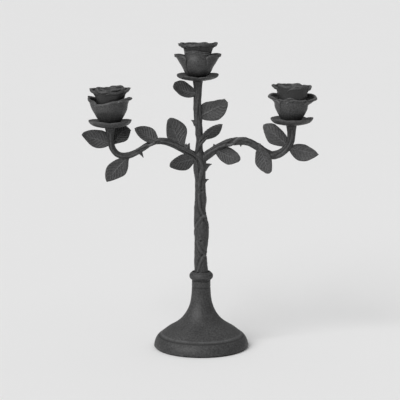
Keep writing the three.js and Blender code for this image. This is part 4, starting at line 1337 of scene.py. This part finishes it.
class CandelabrumSizes(bpy.types.PropertyGroup):
    """Small sizes that the CAD frame leaves open"""

    petal_thickness: bpy.props.FloatProperty(
        name="Petal thickness", description="Thickness of a rose petal", default=0.0017, unit="LENGTH",
    )
    vein_height: bpy.props.FloatProperty(
        name="Vein height", description="How far leaf veins stand up", default=0.0006, unit="LENGTH",
    )
    bark_height: bpy.props.FloatProperty(
        name="Bark height", description="How far the stem's tallest bark strands stand up",
        default=BARK_HEIGHT, unit="LENGTH",
    )
    neck_groove: bpy.props.FloatProperty(
        name="Neck groove", description="Height of the fine groove round the foot's neck", default=0.076,
        unit="LENGTH",
    )
    pan_ripple: bpy.props.FloatProperty(
        name="Pan ripple", description="Rise and fall of a drip pan's rim", default=0.0005, unit="LENGTH",
    )
    floor_radius: bpy.props.FloatProperty(
        name="Floor radius", description="Radius of the floor", default=60.0, unit="LENGTH",
    )


class CandelabrumColours(bpy.types.PropertyGroup):
    """Colours of the finishes"""

    casting: bpy.props.FloatVectorProperty(
        name="Casting", description="Paint on the foot and branches", default=(0.055, 0.055, 0.0555),
        subtype="COLOR",
    )
    leaf: bpy.props.FloatVectorProperty(
        name="Leaves", description="Paint on the leaves", default=(0.073, 0.073, 0.0735), subtype="COLOR",
    )
    petal: bpy.props.FloatVectorProperty(
        name="Roses", description="Paint on the roses and drip pans", default=(0.066, 0.066, 0.0665),
        subtype="COLOR",
    )
    # Paler paint for rubbed ridges, also used for painted highlights on ridges and rims.
    rubbed_and_highlight: bpy.props.FloatVectorProperty(
        name="Rubbed paint and painted highlights", description="Paint where ridges are rubbed", default=(0.105, 0.105, 0.107),
        subtype="COLOR",
    )
    steel: bpy.props.FloatVectorProperty(
        name="Steel", description="Plating on the screws", default=(0.52, 0.53, 0.55), subtype="COLOR",
    )
    felt: bpy.props.FloatVectorProperty(
        name="Felt", description="Felt ring under the foot", default=(0.012, 0.012, 0.013), subtype="COLOR",
    )
    floor: bpy.props.FloatVectorProperty(
        name="Floor", description="Floor of the stage", default=(0.86, 0.86, 0.86), subtype="COLOR",
    )


# Roughness of each painted casting, its sand grain to the metre and the grain's depth in metres.
PAINTS = {
    "casting": (0.56, 620.0, 0.0004),
    "leaf": (0.58, 700.0, 0.0004),
    "petal": (0.52, 800.0, 0.00025),
}


def paint_for(kind, context):
    """Paint of the foot and branches (casting), of the leaves (leaf) or of roses and drip pans (petal)."""
    colours = context.scene.candelabrum_colours
    return cast_metal(kind + "_paint", getattr(colours, kind), colours.rubbed_and_highlight, *PAINTS[kind])


class CANDELABRUM_OT_foot(bpy.types.Operator):
    """Bell foot, bead collar, felt ring, tie bolt and washer"""

    bl_idname = "candelabrum.foot"
    bl_label = "Foot"

    def execute(self, context):
        sizes, colours = context.scene.candelabrum_sizes, context.scene.candelabrum_colours
        paint = paint_for("casting", context)
        steel = zinc_steel("zinc_plating", colours.steel)
        felt = pressed_felt("felt_wool", colours.felt)
        foot, bolt, washer = [foot_shell(sizes.neck_groove / MM)], [bolt_shell()], [washer_shell()]
        make_piece("foot_casting", foot, "frame", ["base_bell"], paint, CAST_EDGE)
        make_piece("collar_bead", [collar_shell()], "frame", ["neck_collar"], paint, CAST_EDGE)
        make_piece("felt_ring", [felt_shell()], "frame", ["base_felt"], felt)
        make_piece("foot_bolt", bolt, "frame", ["tie_bolt"], steel, STEEL_EDGE)
        make_piece("foot_washer", washer, "frame", ["tie_washer"], steel, STEEL_EDGE)
        return {"FINISHED"}


class CANDELABRUM_OT_branches(bpy.types.Operator):
    """Stem and arms, with their bark, their thorns and the vines over the crown"""

    bl_idname = "candelabrum.branches"
    bl_label = "Branches"

    def execute(self, context):
        paint = paint_for("casting", context)
        tall = context.scene.candelabrum_sizes.bark_height / BARK_HEIGHT
        stem, left, right = (
            [(line, height * tall, width) for line, height, width in strands]
            for strands in (STEM_STRANDS, ARM_LEFT_STRANDS, ARM_RIGHT_STRANDS)
        )
        stem = thorny_branch(STEM_ROUTE, STEM_ROUTE[0][2], stem, STEM_PITS, STEM_THORNS, 3, 420)
        left = thorny_branch(ARM_LEFT_ROUTE, 0.0, left, (), ARM_LEFT_THORNS, 4, 300)
        left += [branch_shell(vine, 0.0, 120, 20, lumps=0.12) for vine in CROWN_VINES]
        right = thorny_branch(ARM_RIGHT_ROUTE, 0.0, right, (), ARM_RIGHT_THORNS, 5, 300)
        make_piece("stem_branch", stem, "frame", ["main_stem"], paint)
        make_piece("left_branch", left, "frame", ["arm_left"], paint)
        make_piece("right_branch", right, "frame", ["arm_right"], paint)
        return {"FINISHED"}


class CANDELABRUM_OT_leaves(bpy.types.Operator):
    """The thirteen veined leaves"""

    bl_idname = "candelabrum.leaves"
    bl_label = "Leaves"

    def execute(self, context):
        vein_height = context.scene.candelabrum_sizes.vein_height / MM
        paint = paint_for("leaf", context)
        for number, node in enumerate(LEAVES):
            leaf = [leaf_shell(node, vein_height, number)]
            make_piece(node.replace("leaf", "veined_leaf"), leaf, "frame", [node], paint)
        return {"FINISHED"}


class CANDELABRUM_OT_roses(bpy.types.Operator):
    """Petal cups and candle cups of the three roses"""

    bl_idname = "candelabrum.roses"
    bl_label = "Roses"

    def execute(self, context):
        thickness = context.scene.candelabrum_sizes.petal_thickness / MM
        paint = paint_for("petal", context)
        for name in CUP_NAMES:
            body = "rose_" + name
            lower, upper = petal_cup_shells(name, thickness), candle_cup_shells(name, thickness)
            make_piece("rose_petals_" + name, lower, body, ["petal_cup_" + name], paint)
            make_piece("rose_crown_" + name, upper, body, ["candle_cup_" + name], paint)
        return {"FINISHED"}


class CANDELABRUM_OT_pans(bpy.types.Operator):
    """Drip pans under the roses"""

    bl_idname = "candelabrum.pans"
    bl_label = "Drip pans"

    def execute(self, context):
        ripple = context.scene.candelabrum_sizes.pan_ripple / MM
        paint = paint_for("petal", context)
        for name in CUP_NAMES:
            pan, node = pan_shells(name, ripple), "drip_pan_" + name
            make_piece("wax_pan_" + name, pan, "pan_" + name, [node], paint, PAN_EDGE)
        return {"FINISHED"}


class CANDELABRUM_OT_screws(bpy.types.Operator):
    """Threaded studs and jam nuts under the roses"""

    bl_idname = "candelabrum.screws"
    bl_label = "Screws"

    def execute(self, context):
        steel = zinc_steel("zinc_plating", context.scene.candelabrum_colours.steel)
        for name in CUP_NAMES:
            body, node = "rose_" + name, "cup_stud_" + name
            stud, nut = stud_shells(name), nut_shells(name)
            make_piece("threaded_stud_" + name, stud, body, [node], steel, STEEL_EDGE)
            make_piece("hex_nut_" + name, nut, body, ["jam_nut_" + name], steel, STEEL_EDGE)
        return {"FINISHED"}


def soft_sun(name, direction, strength, spread):
    """An even light from one direction over the whole floor, its shadows softened over spread degrees."""
    light = bpy.data.lights.new(name, "SUN")
    light.energy = strength
    light.angle = math.radians(spread)
    lamp = bpy.data.objects.new(name, light)
    lamp.rotation_euler = (-Vector(direction)).to_track_quat("-Z", "Y").to_euler()
    bpy.context.scene.collection.objects.link(lamp)


class CANDELABRUM_OT_stage(bpy.types.Operator):
    """Floor, soft light and camera"""

    bl_idname = "candelabrum.stage"
    bl_label = "Stage"

    def execute(self, context):
        scene = context.scene
        radius = scene.candelabrum_sizes.floor_radius
        turn = np.linspace(0, 2 * np.pi, 96, endpoint=False)
        rim = np.stack([radius * np.cos(turn), radius * np.sin(turn), 0 * turn], -1)
        mesh = bpy.data.meshes.new("floor")
        mesh.from_pydata(rim.tolist(), [], [list(range(len(turn)))])
        mesh.materials.append(floor_paint("floor_paint", scene.candelabrum_colours.floor))
        floor = bpy.data.objects.new("floor", mesh)
        scene.collection.objects.link(floor)

        world = bpy.data.worlds.new("studio")
        world.use_nodes = True
        nodes, links = world.node_tree.nodes, world.node_tree.links
        room = nodes["Background"]
        room.label = "Light from the room"
        room.inputs["Color"].default_value = (1.0, 1.0, 1.0, 1.0)
        room.inputs["Strength"].default_value = 0.22
        wall = nodes.new("ShaderNodeBackground")
        wall.label = "Wall beyond the floor"
        wall.location = (-200, -200)
        wall.inputs["Color"].default_value = (1.0, 1.0, 1.0, 1.0)
        wall.inputs["Strength"].default_value = 0.775
        seen = nodes.new("ShaderNodeLightPath")
        seen.label = "Seen directly"
        seen.location = (-200, 300)
        backdrop = nodes.new("ShaderNodeMixShader")
        backdrop.label = "Room light or wall"
        backdrop.location = (100, 0)
        links.new(seen.outputs["Is Camera Ray"], backdrop.inputs["Fac"])
        links.new(room.outputs["Background"], backdrop.inputs[1])
        links.new(wall.outputs["Background"], backdrop.inputs[2])
        links.new(backdrop.outputs["Shader"], nodes["World Output"].inputs["Surface"])
        scene.world = world
        scene.view_settings.view_transform = "Standard"
        soft_sun("key", (-1.0, -1.25, 1.25), 2.3, 45.0)
        soft_sun("top", (0.1, 0.2, 1.0), 0.8, 110.0)

        lens = bpy.data.cameras.new("camera")
        lens.sensor_width = 36.0
        lens.lens = 138.4
        lens.clip_end = 200.0
        camera = bpy.data.objects.new("camera", lens)
        camera.location = (-0.0015, -1.87, 0.50)
        camera.rotation_euler = (math.radians(80.45), 0.0, 0.0)
        scene.collection.objects.link(camera)
        scene.camera = camera
        return {"FINISHED"}


OPERATORS = (
    CANDELABRUM_OT_foot, CANDELABRUM_OT_branches, CANDELABRUM_OT_leaves, CANDELABRUM_OT_pans,
    CANDELABRUM_OT_roses, CANDELABRUM_OT_screws, CANDELABRUM_OT_stage,
)


class CANDELABRUM_PT_build(bpy.types.Panel):
    """Settings and build steps of the candelabrum"""

    bl_idname = "CANDELABRUM_PT_build"
    bl_label = "Rose candelabrum"
    bl_space_type = "VIEW_3D"
    bl_region_type = "UI"
    bl_category = "Candelabrum"

    def draw(self, context):
        for settings in (context.scene.candelabrum_sizes, context.scene.candelabrum_colours):
            box = self.layout.box()
            for name in settings.__annotations__:
                box.prop(settings, name)
        for operator in OPERATORS:
            self.layout.operator(operator.bl_idname)


CLASSES = (CandelabrumSizes, CandelabrumColours) + OPERATORS + (CANDELABRUM_PT_build,)


def register():
    """Adds the settings, build steps and panel."""
    for one in CLASSES:
        bpy.utils.register_class(one)
    bpy.types.Scene.candelabrum_sizes = bpy.props.PointerProperty(type=CandelabrumSizes)
    bpy.types.Scene.candelabrum_colours = bpy.props.PointerProperty(type=CandelabrumColours)


def unregister():
    """Takes them away again."""
    del bpy.types.Scene.candelabrum_colours
    del bpy.types.Scene.candelabrum_sizes
    for one in reversed(CLASSES):
        bpy.utils.unregister_class(one)


def main():
    """Builds the candelabrum and its stage."""
    register()
    bpy.ops.candelabrum.foot()
    bpy.ops.candelabrum.branches()
    bpy.ops.candelabrum.leaves()
    bpy.ops.candelabrum.pans()
    bpy.ops.candelabrum.roses()
    bpy.ops.candelabrum.screws()
    bpy.ops.candelabrum.stage()


if __name__ == "__main__":
    main()
